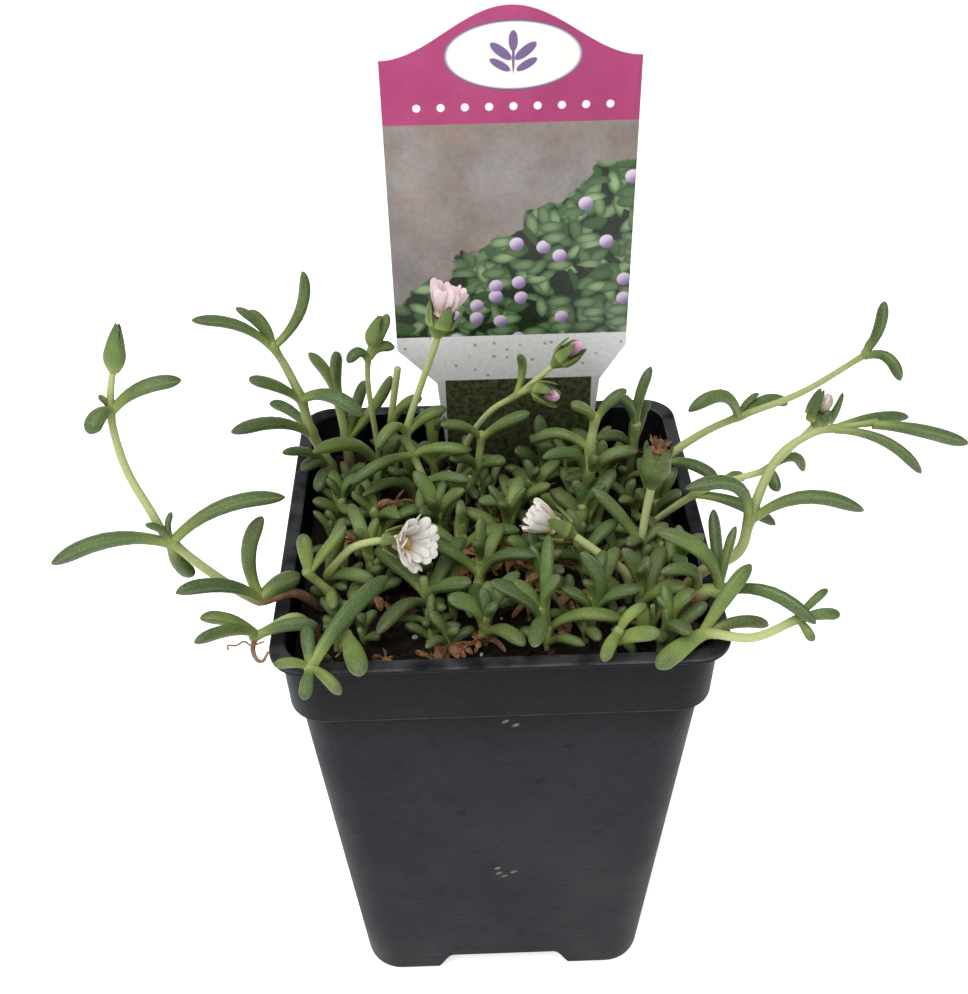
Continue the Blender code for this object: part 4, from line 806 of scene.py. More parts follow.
def petal_seat(flower, shoots):
    """The point just above a flower's cup that its petals stand on, and the way that it faces."""
    base, axis = flower_end(flower, shoots)
    return base + axis * (flower.cup - CUP_SINK + SEAT_GAP), axis


def fit_leaf(room, shoot, leaf):
    """The leaf as drawn, or turned, raised or shortened until it clears everything, or none."""
    for share, turn, lift in product(TRY_LENGTHS, TRY_TURNS, TRY_RISES):
        tried = leaf._replace(heading=leaf.heading + turn, rise=leaf.rise + lift, length=leaf.length * share)
        chain = leaf_chain(shoot, tried)
        if clear_of_pot(chain) and room.clear(shoot.name, chain):
            room.add(shoot.name, chain)
            return tried
    return None


def short_shoot(row, rng):
    """A short stem from one row of the list, with pairs of leaves set crosswise up it."""
    name, x, y, heading, length = row
    lean = math.radians(rng.uniform(0, 360))
    height = SHORT_STEM * rng.uniform(*SHORT_STEM_SPREAD)
    reach = rng.uniform(*SHORT_REACHES)
    foot = soil_top(x, y) + SHORT_FOOT
    path = []
    for step in range(SHORT_PAIRS + 1):
        share = step / SHORT_PAIRS
        path.append((x + reach * share * math.cos(lean), y + reach * share * math.sin(lean),
                     foot + height * share))
    leaves = []
    for pair, side in product(range(SHORT_PAIRS), (0, 180)):
        turn, lift, longer, wider = [rng.uniform(*limits) for limits in PAIR_SPREADS]
        leaves.append(Leaf(pair + 1, heading + 90 * pair + side + turn, PAIR_RISES[pair] + lift,
                           length * PAIR_SHRINK[pair] * longer, PAIR_WIDTHS[pair] * wider,
                           rng.uniform(*SHORT_BOWS)))
    return Shoot("short_" + name, SHORT_RADII, path, leaves)


def fit_stem(room, shoot):
    """A short shoot where it was drawn, or moved a little in plan until its stem has room."""
    for reach, way in product(TRY_NUDGES, range(8)):
        angle = math.radians(45 * way)
        path = [(x + reach * math.cos(angle), y + reach * math.sin(angle), z) for x, y, z in shoot.path]
        moved = shoot._replace(path=path)
        chain = stem_chain(moved)
        inside = max(plan_distance(centre.x, centre.y, BODY_TOP_HALF - WALL, LIP_CORNER - WALL) + radius
                     for centre, radius in chain)
        if inside < -CLEARANCE and room.clear(shoot.name, chain):
            room.add(shoot.name, chain)
            return moved
    raise ValueError(f"no room for {shoot.name}")


def lay_out():
    """Every shoot with its leaves fitted: first the long ones, then the short ones between them."""
    rng = random.Random(SHORT_SEED)
    room = Room()
    named = {shoot.name: shoot for shoot in LONG_SHOOTS}
    for shoot in LONG_SHOOTS:
        room.add(shoot.name, stem_chain(shoot))
    room.add("stalk_capsule", capsule_chain())
    for flower in FLOWERS:
        owner = flower.name if flower.petals else flower.shoot
        room.add(owner, flower_chain(flower, named))
    shorts = [fit_stem(room, short_shoot(row, rng)) for row in SHORT_SHOOTS]
    fitted = []
    for shoot in LONG_SHOOTS + shorts:
        placed = [fit_leaf(room, shoot, leaf) for leaf in shoot.leaves]
        fitted.append(shoot._replace(leaves=[leaf for leaf in placed if leaf]))
    room.clearance = FILLER_CLEARANCE
    return fitted, room


# Strands: middle lines that one tree turns into stems, leaves, cups and petals

Strand = namedtuple("Strand", "points girth overs along flat shade age woody thick",
                    defaults=(1.0, 0.5, 0.0, 0.0, 1.0))


def leaf_share(t, root, widest=WIDEST_AT, tip_from=TIP_FROM, bluntness=BLUNTNESS):
    """A blade's width along its length: broadening from its root, then a blunt rounded tip."""
    grown = min(t / widest, 1.0)
    body = root + (1 - root) * grown * grown * (3 - 2 * grown)
    if t > tip_from:
        past = (t - tip_from) / (1 - tip_from)
        body *= max(1 - past * past, 0.0) ** bluntness
    return max(body, TIP_END)


def petal_share(t, root):
    return leaf_share(t, root, PETAL_WIDEST_AT, PETAL_TIP_FROM, PETAL_BLUNTNESS)


def lobe_share(t, root):
    """A lobe's width: broad at its root and drawn to a point."""
    return max(root * (1 - t) ** 0.5 * (0.85 + 0.35 * t), TIP_END)


def horn_share(t, root):
    """A horn's width: even until its round end."""
    return max(root * (1 - t) ** 0.35, TIP_END)


def blade_strand(curve, width, face, root, shade, age=0.0, steps=LEAF_STEPS, share=leaf_share, thick=1.0):
    """A leaf, lobe or petal along a curve, its flat side turned to a point at its middle."""
    start, _, end = curve
    chord = (end - start).normalized()
    toward = face - on_curve(curve, 0.5)
    flat = toward - chord * toward.dot(chord)
    overs = []
    for t in steps:
        axis = curve_axis(curve, t)
        overs.append((flat - axis * flat.dot(axis)).normalized())
    points = [on_curve(curve, t * BLADE_REACH) for t in steps]
    radii = [width / 2 * share(t, root) for t in steps]
    return Strand(points, radii, overs, steps, 1.0, shade, age, 0.0, thick)


def leaf_strand(shoot, leaf, shade, age, slim, steps=LEAF_STEPS):
    root = min(ROOT_MOST, max(ROOT_LEAST, 2 * ROOT_SHARE * stem_radius(shoot, leaf.at) / leaf.width))
    thick = SHORT_THICK if shoot.name.startswith("short") else 1.0
    return blade_strand(leaf_curve(shoot, leaf), leaf.width * slim, leaf_face(shoot, leaf), root, shade, age,
                        steps, thick=thick)


def line_strand(points, radii, along=None, shade=0.5, age=0.0, woody=0.0):
    """A round body along a line."""
    over = (points[1] - points[0]).normalized().orthogonal().normalized()
    last = len(points) - 1
    overs = []
    for index in range(last + 1):
        axis = (points[min(index + 1, last)] - points[max(index - 1, 0)]).normalized()
        over = (over - axis * over.dot(axis)).normalized()
        overs.append(over)
    if along is None:
        along = [index / last for index in range(last + 1)]
    return Strand(points, radii, overs, along, 0.0, shade, age, woody)


def stem_strand(shoot, per_span, shade, age):
    """A stem from its root up, a little swollen where leaves leave it."""
    points, radii = stem_line(shoot, per_span)
    knots = [Vector(shoot.path[leaf.at]) for leaf in shoot.leaves]
    swollen = []
    paleness = []
    for point, radius in zip(points, radii):
        nearest = min(((point - knot).length for knot in knots), default=99.0)
        swollen.append(radius * (1 + NODE_SWELLING * math.exp(-(nearest / NODE_REACH) ** 2)))
        paleness.append(shade * (1 - math.exp(-(nearest / GREEN_REACH) ** 2)))
    last = swollen[-1]
    way = (points[-1] - points[-2]).normalized()
    end = points[-1]
    points += [end + way * (last * reach) for reach, _ in STEM_TIP]
    swollen += [last * share for _, share in STEM_TIP]
    paleness += [paleness[-1]] * len(STEM_TIP)
    return line_strand(points, swollen, shade=paleness, age=age, woody=1.0)


def turned_strand(base, axis, height, radius, profile, shade=0.5, age=0.0):
    """A body turned about an axis, its profile smoothed between (height share, radius share) pairs."""
    heights, shares = zip(*profile)
    points = []
    radii = []
    for step in range(TURNED_STEPS + 1):
        h = heights[0] + (heights[-1] - heights[0]) * step / TURNED_STEPS
        points.append(base + axis * (height * h))
        radii.append(radius * float(np.interp(h, heights, shares)))
    soft = radii[:]
    for step in range(1, TURNED_STEPS):
        soft[step] = (radii[step - 1] + 2 * radii[step] + radii[step + 1]) / 4
    return line_strand(points, soft, shade=shade, age=age)


def strand_mesh(strands):
    """A mesh of plain lines that carries each point's radius and what its finish needs."""
    mesh = bpy.data.meshes.new("lines")
    edges = []
    first = 0
    for strand in strands:
        edges += [(first + step, first + step + 1) for step in range(len(strand.points) - 1)]
        first += len(strand.points)
    mesh.from_pydata([point * MM for strand in strands for point in strand.points], edges, [])
    for field in ("girth", "along", "flat", "shade", "age", "woody", "thick"):
        unit = MM if field == "girth" else 1.0
        values = []
        for strand in strands:
            value = getattr(strand, field)
            each = value if isinstance(value, (list, tuple)) else [value] * len(strand.points)
            values += [one * unit for one in each]
        mesh.attributes.new(field, "FLOAT", "POINT").data.foreach_set("value", values)
    over = mesh.attributes.new("over", "FLOAT_VECTOR", "POINT")
    over.data.foreach_set("vector", [c for strand in strands for way in strand.overs for c in way])
    return mesh


# Node trees

def fill(node, sockets):
    """Sets some of a node's inputs, each to a value or to another node's output."""
    for name, value in sockets.items():
        if isinstance(value, bpy.types.NodeSocket):
            node.id_data.links.new(value, node.inputs[name])
        else:
            node.inputs[name].default_value = value


def add(tree, kind, sockets=None, **settings):
    """One node with its settings and its inputs. Gives its outputs."""
    made = tree.nodes.new(kind)
    for name, value in settings.items():
        setattr(made, name, value)
    fill(made, sockets or {})
    return made.outputs


def geometry(tree, kind, sockets=None, **settings):
    return add(tree, "GeometryNode" + kind, sockets, **settings)[0]


def calc(operation, *values):
    """One sum, in the tree that its values belong to."""
    tree = next(value for value in values if isinstance(value, bpy.types.NodeSocket)).id_data
    return add(tree, "ShaderNodeMath", dict(enumerate(values)), operation=operation)[0]


def times(value, *others):
    for other in others:
        value = calc("MULTIPLY", value, other)
    return value


def minus(first, second):
    return calc("SUBTRACT", first, second)


def vector(operation, value, other):
    """One sum of vectors, or a vector scaled by a number."""
    second = "Scale" if operation == "SCALE" else 1
    return add(value.id_data, "ShaderNodeVectorMath", {0: value, second: other}, operation=operation)[0]


def parts(value):
    return add(value.id_data, "ShaderNodeSeparateXYZ", {0: value})


def step_up(value, low, high):
    """0 below one value, 1 above another, smooth between them."""
    return add(value.id_data, "ShaderNodeMapRange", {"Value": value, "From Min": low, "From Max": high},
               interpolation_type="SMOOTHSTEP")["Result"]


def scaled_to(value, low, high):
    return add(value.id_data, "ShaderNodeMapRange", {"Value": value, "To Min": low, "To Max": high})["Result"]


def paint(colour):
    """A colour from its everyday 0 to 255 numbers; a node's colour stays as it is."""
    if isinstance(colour, bpy.types.NodeSocket):
        return colour
    shares = [part / 255 for part in colour]
    linear = [share / 12.92 if share <= 0.04045 else ((share + 0.055) / 1.055) ** 2.4 for share in shares]
    return (*linear, 1.0)


def colour_mix(factor, first, second):
    return add(factor.id_data, "ShaderNodeMix", {0: factor, 6: paint(first), 7: paint(second)},
               data_type="RGBA")[2]


def layered(colour, *coats):
    """A colour with others laid over it in turn, each as (where, colour)."""
    for where, over in coats:
        colour = colour_mix(where, colour, over)
    return colour


def group_tree(name, kind, inputs, output, output_kind="Float"):
    """An empty node group whose named inputs are each a kind of socket or a value to start from."""
    tree = bpy.data.node_groups.new(name, kind + "NodeTree")
    for label, given in inputs.items():
        plain = isinstance(given, str)
        socket = given if plain else {float: "Float", int: "Int", tuple: "Vector"}[type(given)]
        made = tree.interface.new_socket(label, in_out="INPUT", socket_type="NodeSocket" + socket)
        if not plain:
            made.default_value = given
    tree.interface.new_socket(output, in_out="OUTPUT", socket_type="NodeSocket" + output_kind)
    return tree, tree.nodes.new("NodeGroupInput").outputs, tree.nodes.new("NodeGroupOutput").inputs[0]


def sweep_tree():
    """Lines become closed bodies: round where flat is 0, and flat on top with a keel where it is 1."""
    tree, given, result = group_tree(
        "sweep", "Geometry",
        {"Lines": "Geometry", "Sides": LEAF_SIDES, "Top Height": LEAF_TOP, "Keel Depth": LEAF_KEEL,
         "Flesh": "Material", "Bark": "Material"}, "Body", "Geometry")

    def stored(name, kind="FLOAT"):
        return geometry(tree, "InputNamedAttribute", {"Name": name}, data_type=kind)

    over = stored("over", "FLOAT_VECTOR")
    lines = geometry(tree, "MeshToCurve", {"Mesh": given["Lines"]})
    lines = geometry(tree, "SetCurveNormal", {"Curve": lines, "Normal": over}, mode="FREE")
    ring = geometry(tree, "CurvePrimitiveCircle", {"Resolution": given["Sides"], "Radius": 1.0})
    spot = parts(geometry(tree, "InputPosition"))
    for label, axis in (("up", 0), ("across", 1)):
        ring = geometry(tree, "StoreNamedAttribute", {"Geometry": ring, "Name": label, "Value": spot[axis]},
                        data_type="FLOAT", domain="POINT")
    girth = stored("girth")
    up = stored("up")
    body = geometry(tree, "CurveToMesh",
                    {"Curve": lines, "Profile Curve": ring, "Scale": girth, "Fill Caps": True})
    rounding = calc("POWER", minus(1.0, calc("MAXIMUM", up, 0.0)), 1.5)
    top = times(minus(1.0, rounding), given["Top Height"])
    keel = times(calc("MINIMUM", up, 0.0), given["Keel Depth"])
    shift = minus(times(calc("ADD", top, keel), stored("thick")), up)
    shift = vector("SCALE", over, times(shift, girth, stored("flat")))
    body = geometry(tree, "SetPosition", {"Geometry": body, "Offset": shift})
    body = geometry(tree, "SetShadeSmooth", {"Geometry": body})
    body = geometry(tree, "RealizeInstances", {"Geometry": body})
    body = geometry(tree, "SetMaterial", {"Geometry": body, "Material": given["Flesh"]})
    woody = calc("GREATER_THAN", stored("woody"), 0.5)
    body = geometry(tree, "SetMaterial", {"Geometry": body, "Selection": woody, "Material": given["Bark"]})
    tree.links.new(body, result)


def scatter_tree():
    """Crumbs on a surface: a rounded lump, flattened and turned at random, and roughened all over."""
    tree, given, result = group_tree(
        "scatter", "Geometry",
        {"Ground": "Geometry", "Spacing": 0.001, "Density": 1000.0, "Smallest": (0.001, 0.001, 0.001),
         "Largest": (0.002, 0.002, 0.002), "Tilt": 0.5, "Roughness": 0.0004, "Detail": 1, "Seed": 1,
         "Finish": "Material"}, "Crumbs", "Geometry")
    seed = given["Seed"]
    tilt = given["Tilt"]
    spots = geometry(tree, "DistributePointsOnFaces",
                     {"Mesh": given["Ground"], "Distance Min": given["Spacing"],
                      "Density Max": given["Density"], "Seed": seed}, distribute_method="POISSON")
    lump = geometry(tree, "MeshIcoSphere", {"Radius": 0.5, "Subdivisions": given["Detail"]})
    size = add(tree, "FunctionNodeRandomValue",
               {0: given["Smallest"], 1: given["Largest"], "Seed": seed}, data_type="FLOAT_VECTOR")[0]
    back = times(tilt, -1.0)
    least = add(tree, "ShaderNodeCombineXYZ", {0: back, 1: back, 2: 0.0})[0]
    most = add(tree, "ShaderNodeCombineXYZ", {0: tilt, 1: tilt, 2: 2 * math.pi})[0]
    turn = add(tree, "FunctionNodeRandomValue", {0: least, 1: most, "Seed": calc("ADD", seed, 7.0)},
               data_type="FLOAT_VECTOR")[0]
    tint = add(tree, "FunctionNodeRandomValue", {2: 0.0, 3: 1.0, "Seed": calc("ADD", seed, 3.0)},
               data_type="FLOAT")[1]
    crumbs = geometry(tree, "InstanceOnPoints",
                      {"Points": spots, "Instance": lump, "Rotation": turn, "Scale": size})
    crumbs = geometry(tree, "StoreNamedAttribute", {"Geometry": crumbs, "Name": "shade", "Value": tint},
                      data_type="FLOAT", domain="INSTANCE")
    crumbs = geometry(tree, "RealizeInstances", {"Geometry": crumbs})
    grain = add(tree, "ShaderNodeTexNoise", {"Scale": 900.0, "Detail": 1.0})["Color"]
    jitter = vector("SCALE", vector("SUBTRACT", grain, (0.5, 0.5, 0.5)), given["Roughness"])
    crumbs = geometry(tree, "SetPosition", {"Geometry": crumbs, "Offset": jitter})
    crumbs = geometry(tree, "SetMaterial", {"Geometry": crumbs, "Material": given["Finish"]})
    tree.links.new(crumbs, result)


def linked(name, data):
    made = bpy.data.objects.new(name, data)
    bpy.context.scene.collection.objects.link(made)
    return made


def grow(name, mesh, tree_name, values):
    """Runs a tree on a mesh and keeps the result as a plain object."""
    tree = bpy.data.node_groups[tree_name]
    source = linked(name, mesh)
    modifier = source.modifiers.new("tree", "NODES")
    modifier.node_group = tree
    for item in tree.interface.items_tree:
        if item.in_out == "INPUT" and item.name in values:
            modifier[item.identifier] = values[item.name]
    graph = bpy.context.evaluated_depsgraph_get()
    made = bpy.data.meshes.new_from_object(source.evaluated_get(graph), preserve_all_data_layers=True,
                                           depsgraph=graph)
    bpy.data.objects.remove(source, do_unlink=True)
    return linked(name, made)


def sweep(name, strands, sides, flesh, bark=None, top=LEAF_TOP, keel=LEAF_KEEL):
    return grow(name, strand_mesh(strands), "sweep", {"Sides": sides, "Top Height": top, "Keel Depth": keel,
                                                      "Flesh": flesh, "Bark": bark or flesh})


# Shared effects

def dots_group():
    """Tiny raised dots all over, as on the skin of a fleshy leaf."""
    tree, given, result = group_tree(
        "fine dots", "Shader", {"Place": "Vector", "Dots per Metre": 3000.0}, "Dots")
    cells = add(tree, "ShaderNodeTexVoronoi", {"Vector": given["Place"], "Scale": given["Dots per Metre"]})
    tree.links.new(step_up(minus(1.0, cells["Distance"]), 0.35, 0.9), result)


def patches_group():
    """Soft uneven patches of one size, from 0 to 1."""
    tree, given, result = group_tree(
        "soft patches", "Shader",
        {"Place": "Vector", "Patches per Metre": 200.0, "Cover": 0.5, "Softness": 0.2}, "Patches")
    noise = add(tree, "ShaderNodeTexNoise", {"Vector": given["Place"], "Scale": given["Patches per Metre"],
                                             "Detail": 4.0, "Roughness": 0.6})
    middle = minus(1.0, given["Cover"])
    low = minus(middle, given["Softness"])
    high = calc("ADD", middle, given["Softness"])
    tree.links.new(step_up(noise["Fac"], low, high), result)


def specks_group():
    """Separate pale grains of dust, as a mask."""
    tree, given, result = group_tree(
        "dust specks", "Shader",
        {"Place": "Vector", "Specks per Metre": 500.0, "Speck Size": 0.12, "Cover": 0.3}, "Specks")
    cells = add(tree, "ShaderNodeTexVoronoi", {"Vector": given["Place"], "Scale": given["Specks per Metre"]})
    near = calc("LESS_THAN", cells["Distance"], given["Speck Size"])
    kept = calc("LESS_THAN", draws(cells)[0], given["Cover"])
    tree.links.new(times(near, kept), result)


def pale_line_group():
    """A broken pale line round the pot at one height."""
    tree, given, result = group_tree(
        "worn line", "Shader",
        {"Place": "Vector", "Height": 0.1, "Half Width": 0.0004, "Breaks per Metre": 120.0}, "Line")
    away = calc("ABSOLUTE", minus(parts(given["Place"])["Z"], given["Height"]))
    noise = add(tree, "ShaderNodeTexNoise",
                {"Vector": given["Place"], "Scale": given["Breaks per Metre"], "Detail": 5.0})
    line = step_up(calc("DIVIDE", away, given["Half Width"]), 1.0, 0.4)
    tree.links.new(times(line, step_up(noise["Fac"], 0.35, 0.6)), result)


def draws(cells):
    """Random values, one set to each cell."""
    return add(cells["Color"].id_data, "ShaderNodeSeparateColor", {0: cells["Color"]})


def effect(name, place, values):
    """A shared effect, placed in the tree of the coordinates that it reads."""
    return add(place.id_data, "ShaderNodeGroup", {"Place": place, **values},
               node_tree=bpy.data.node_groups[name])[0]


def patches(place, per_metre, softness=0.2, cover=0.5):
    return effect("soft patches", place,
                  {"Patches per Metre": per_metre, "Softness": softness, "Cover": cover})


def fine_dots(place, per_metre):
    return effect("fine dots", place, {"Dots per Metre": per_metre})


# Finishes

def new_finish(name, roughness, specular):
    """A material, its shader and its object coordinates."""
    made = bpy.data.materials.new(name)
    made.use_nodes = True
    shader = made.node_tree.nodes["Principled BSDF"]
    fill(shader, {"Roughness": roughness, "Specular IOR Level": specular})
    return made, shader, add(made.node_tree, "ShaderNodeTexCoord")["Object"]


def attribute(place, name):
    return add(place.id_data, "ShaderNodeAttribute", attribute_name=name)["Fac"]


def coat(made, shader, colour, height, depth):
    """Gives a finish its colour and its bump, and hands over the material."""
    normal = add(shader.id_data, "ShaderNodeBump", {"Height": height, "Distance": depth, "Strength": 1.0})
    fill(shader, {"Base Color": colour, "Normal": normal["Normal"]})
    return made


def leaf_finish():
    """Fleshy leaf: yellow-green root, mid green, greyer tip, pale rim, tiny pale dots, olive when old. The
    pale rim is partly papillae and partly painted highlight, and the pale dots are partly papillae and
    partly painted glints.
    """
    made, shader, place = new_finish("leaf_flesh", 0.5, 0.35)
    along = attribute(place, "along")
    uneven = patches(place, 260.0, 0.3)
    dots = fine_dots(place, 2200.0)
    # Pale rim along the leaf's edges, stronger towards the tip: partly papillae, partly painted highlight
    rim = times(step_up(calc("ABSOLUTE", attribute(place, "across")), 0.93, 1.0), attribute(place, "flat"),
                step_up(along, 0.1, 0.6), 0.16)
    green = layered((66, 91, 48), (attribute(place, "shade"), (126, 146, 70)),
                    (step_up(along, 0.4, 0.0), (142, 158, 82)),
                    (times(step_up(along, 0.55, 1.0), 0.6), (62, 78, 48)),
                    (times(step_up(along, 0.955, 1.0), 0.45), (104, 84, 60)),
                    (scaled_to(uneven, 0.0, 0.4), (62, 84, 38)),
                    (times(attribute(place, "age"), scaled_to(uneven, 0.55, 0.95)), (84, 80, 44)),
                    # Pale dots: partly the papillae's own colour, partly painted glints
                    (scaled_to(dots, 0.0, 0.12), (180, 190, 146)),
                    (rim, (176, 184, 138)))
    fill(shader, {"Roughness": scaled_to(dots, 0.5, 0.38)})
    return coat(made, shader, green, dots, 0.00003)


def stem_finish():
    """Stem: pale yellow-green, turning reddish brown and woody towards its root."""
    made, shader, place = new_finish("stem_bark", 0.55, 0.35)
    uneven = patches(place, 420.0, 0.25)
    dots = fine_dots(place, 2400.0)
    aged = step_up(minus(attribute(place, "age"), attribute(place, "along")), 0.02, 0.22)
    colour = layered((128, 142, 74), (attribute(place, "shade"), (184, 192, 130)),
                     (aged, colour_mix(uneven, (156, 112, 88), (112, 84, 56))),
                     (scaled_to(dots, 0.0, 0.15), (220, 224, 190)))
    return coat(made, shader, colour, calc("ADD", dots, uneven), 0.00006)


def petal_finish(name, root, middle, tip):
    """Petal: its colour along its length, faint lengthwise streaks and a silky surface."""
    made, shader, place = new_finish(name, 0.55, 0.3)
    fill(shader, {"Subsurface Weight": 0.5, "Subsurface Radius": (1.0, 0.9, 0.8), "Subsurface Scale": 0.0012,
                  "Sheen Weight": 0.15})
    along = attribute(place, "along")
    streaks = calc("SINE", times(attribute(place, "across"), 14.0))
    streaks = times(scaled_to(streaks, 0.5, 1.0), 0.14)
    colour = layered(root, (step_up(along, 0.12, 0.55), middle), (step_up(along, 0.6, 1.0), tip),
                     (streaks, root), (scaled_to(patches(place, 600.0, 0.3), 0.0, 0.12), (190, 150, 140)))
    return coat(made, shader, colour, streaks, 0.0001)


def stamen_finish():
    made, shader, place = new_finish("stamen_yellow", 0.7, 0.3)
    dots = fine_dots(place, 6000.0)
    colour = layered((226, 214, 158), (step_up(attribute(place, "along"), 0.5, 0.8), (224, 192, 100)),
                     (scaled_to(dots, 0.0, 0.3), (246, 224, 150)))
    return coat(made, shader, colour, dots, 0.00008)


def dry_finish(name, first, second):
    """Withered leaf or bark: two browns in fibrous patches, dull and creased."""
    made, shader, place = new_finish(name, 0.85, 0.2)
    fibres = patches(place, 500.0, 0.15)
    fine = patches(place, 2200.0)
    colour = layered(first, (fibres, second), (scaled_to(fine, 0.0, 0.5), (40, 28, 20)),
                     (scaled_to(attribute(place, "shade"), 0.0, 0.7), second))
    return coat(made, shader, colour, calc("ADD", fibres, fine), 0.0003)


def perlite_finish():
    made, shader, place = new_finish("perlite_white", 0.8, 0.3)
    fine = patches(place, 1800.0)
    return coat(made, shader, colour_mix(fine, (205, 200, 190), (236, 233, 226)), fine, 0.0002)


def pot_finish():
    """Moulded black plastic: fine grain, dull smudges, a few scuffs and pale lines along its edges. Painted
    shade makes the inner wall above the ledge near black, and keeps the collar and a band just under the
    ledge darker than the body below.
    """
    made, shader, place = new_finish("pot_plastic", 0.5, 0.08)
    uneven = patches(place, 45.0, 0.25)
    fine = patches(place, 900.0, 0.25)
    x, y, z = parts(vector("SCALE", place, 1 / MM))
    reach = calc("ADD", *[calc("POWER", calc("ABSOLUTE", axis), SQUARENESS) for axis in (x, y)])
    reach = calc("POWER", reach, 1 / SQUARENESS)
    # Painted shade: the inner wall above the ledge is made near black
    inside = times(step_up(reach, COLLAR_FOOT_HALF - 0.2, COLLAR_FOOT_HALF - 0.7),
                   step_up(z, LEDGE_Z, LEDGE_Z + 1))
    # Painted shade: the collar and a band just under the ledge stay darker than the body below, which grades
    # lighter
    colour = layered((12, 13, 16), (uneven, (18, 19, 22)), (step_up(z, LEDGE_Z, LEDGE_Z - 12), (28, 29, 34)),
                     (scaled_to(fine, 0.0, 0.22), (40, 41, 46)),
                     (scaled_to(patches(place, 190.0, 0.1, 0.36), 0.0, 0.5), (11, 12, 14)),
                     (inside, (3, 3, 4)))
    front = calc("LESS_THAN", y, -FOOT_HALF)
    for marks, size, tint in ((SCUFFS, SCUFF_SIZE, (120, 120, 118)), (DARK_SPOTS, SPOT_SIZE, (8, 8, 9))):
        for spot in marks:
            mark = times(ellipse(x, z, spot, size, 30, 0.9), front, scaled_to(fine, 0.4, 1.0))
            colour = colour_mix(mark, colour, tint)
    # Pale broken lines along the ledge's and the lip's edges
    edge_lines = calc("MAXIMUM", *[effect("worn line", place, {"Height": height * MM, "Half Width": width * MM})
                             for height, width in PALE_EDGE_LINES])
    fill(shader, {"Roughness": scaled_to(uneven, 0.42, 0.58)})
    return coat(made, shader, colour_mix(times(edge_lines, 0.4), colour, (112, 112, 116)), fine, 0.00004)


def peat_finish():
    made, shader, place = new_finish("soil_peat", 0.95, 0.15)
    uneven = patches(place, 300.0)
    fine = patches(place, 1800.0)
    colour = layered((20, 15, 12), (uneven, (40, 31, 25)), (scaled_to(fine, 0.0, 0.5), (62, 47, 37)),
                     (scaled_to(attribute(place, "shade"), 0.0, 0.6), (26, 19, 15)))
    return coat(made, shader, colour, calc("ADD", uneven, fine), 0.0005)


def floor_finish():
    made, shader, place = new_finish("floor_white", 0.9, 0.1)
    fill(shader, {"Base Color": colour_mix(patches(place, 8.0, 0.4), (250, 250, 250), (253, 253, 253)),
                  "Emission Color": (1.0, 1.0, 1.0, 1.0), "Emission Strength": FLOOR_GLOW})
    return made


# The tag's print: plain bands, an oval, a sprig, and a bank of leaves and berries on stone

def ellipse(x, z, centre, halves, angle=0.0, soft=0.08):
    """1 inside a turned ellipse and 0 outside it."""
    over = minus(x, centre[0])
    up = minus(z, centre[1])
    cosine = math.cos(math.radians(angle))
    sine = math.sin(math.radians(angle))
    first = calc("ADD", times(over, cosine / halves[0]), times(up, sine / halves[0]))
    second = minus(times(up, cosine / halves[1]), times(over, sine / halves[1]))
    squares = [calc("POWER", calc("ABSOLUTE", side), 2.0) for side in (first, second)]
    return step_up(calc("SQRT", calc("ADD", *squares)), 1.0 + soft / 2, 1.0 - soft / 2)


def header_print(x, z, place):
    """Pink band with a grained ground, an oval with a sprig in it, and a row of beads."""
    oval = (OVAL_X, OVAL_Z)
    beads = ellipse(calc("PINGPONG", minus(x, OVAL_X), BEAD_SPACING), z, (0.0, BEADS_Z), (0.8, 0.8), 0, 0.25)
    beads = times(beads, ellipse(x, z, (OVAL_X, BEADS_Z), (21.0, 2.0), 0, 0.02))
    return layered((160, 54, 104), (patches(place, 160.0, 0.4), (170, 66, 116)),
                   (ellipse(x, z, oval, (OVAL_HALF + 0.5, OVAL_RISE + 0.5)), (112, 84, 120)),
                   (ellipse(x, z, oval, (OVAL_HALF, OVAL_RISE)), (238, 236, 232)),
                   *[(ellipse(x, z, *part, 0.16), (116, 92, 140)) for part in SPRIG],
                   (beads, (240, 232, 236)))


def berries(spots, spacing, draw_from):
    """Round berries, one to a random cell: their mask, how lit each point is, and where each one is."""
    cells = add(spots.id_data, "ShaderNodeTexVoronoi",
                {"Vector": spots, "Scale": 1 / spacing, "Randomness": 0.7}, voronoi_dimensions="2D")
    over, up, _ = parts(vector("SUBTRACT", spots, cells["Position"]))
    mask = times(step_up(cells["Distance"], 0.36, 0.3), calc("GREATER_THAN", draws(cells)[0], draw_from))
    return mask, step_up(minus(up, times(over, 0.6)), -1.4, 1.4), cells["Position"]


def blade_cells(spots, angle):
    """Broad leaves lying one way: a mask of them, and how light each one is."""
    turned = add(spots.id_data, "ShaderNodeVectorRotate", {"Vector": spots, "Angle": math.radians(angle)},
                 rotation_type="Z_AXIS")[0]
    cells = add(spots.id_data, "ShaderNodeTexVoronoi",
                {"Vector": vector("MULTIPLY", turned, (0.16, 0.33, 1.0)), "Scale": 1.0},
                voronoi_dimensions="2D")
    lightness, chance, _ = draws(cells)
    away = cells["Distance"]
    mask = times(step_up(away, 0.5, 0.38), calc("LESS_THAN", chance, 0.6))
    return mask, times(lightness, step_up(away, 0.5, 0.1))


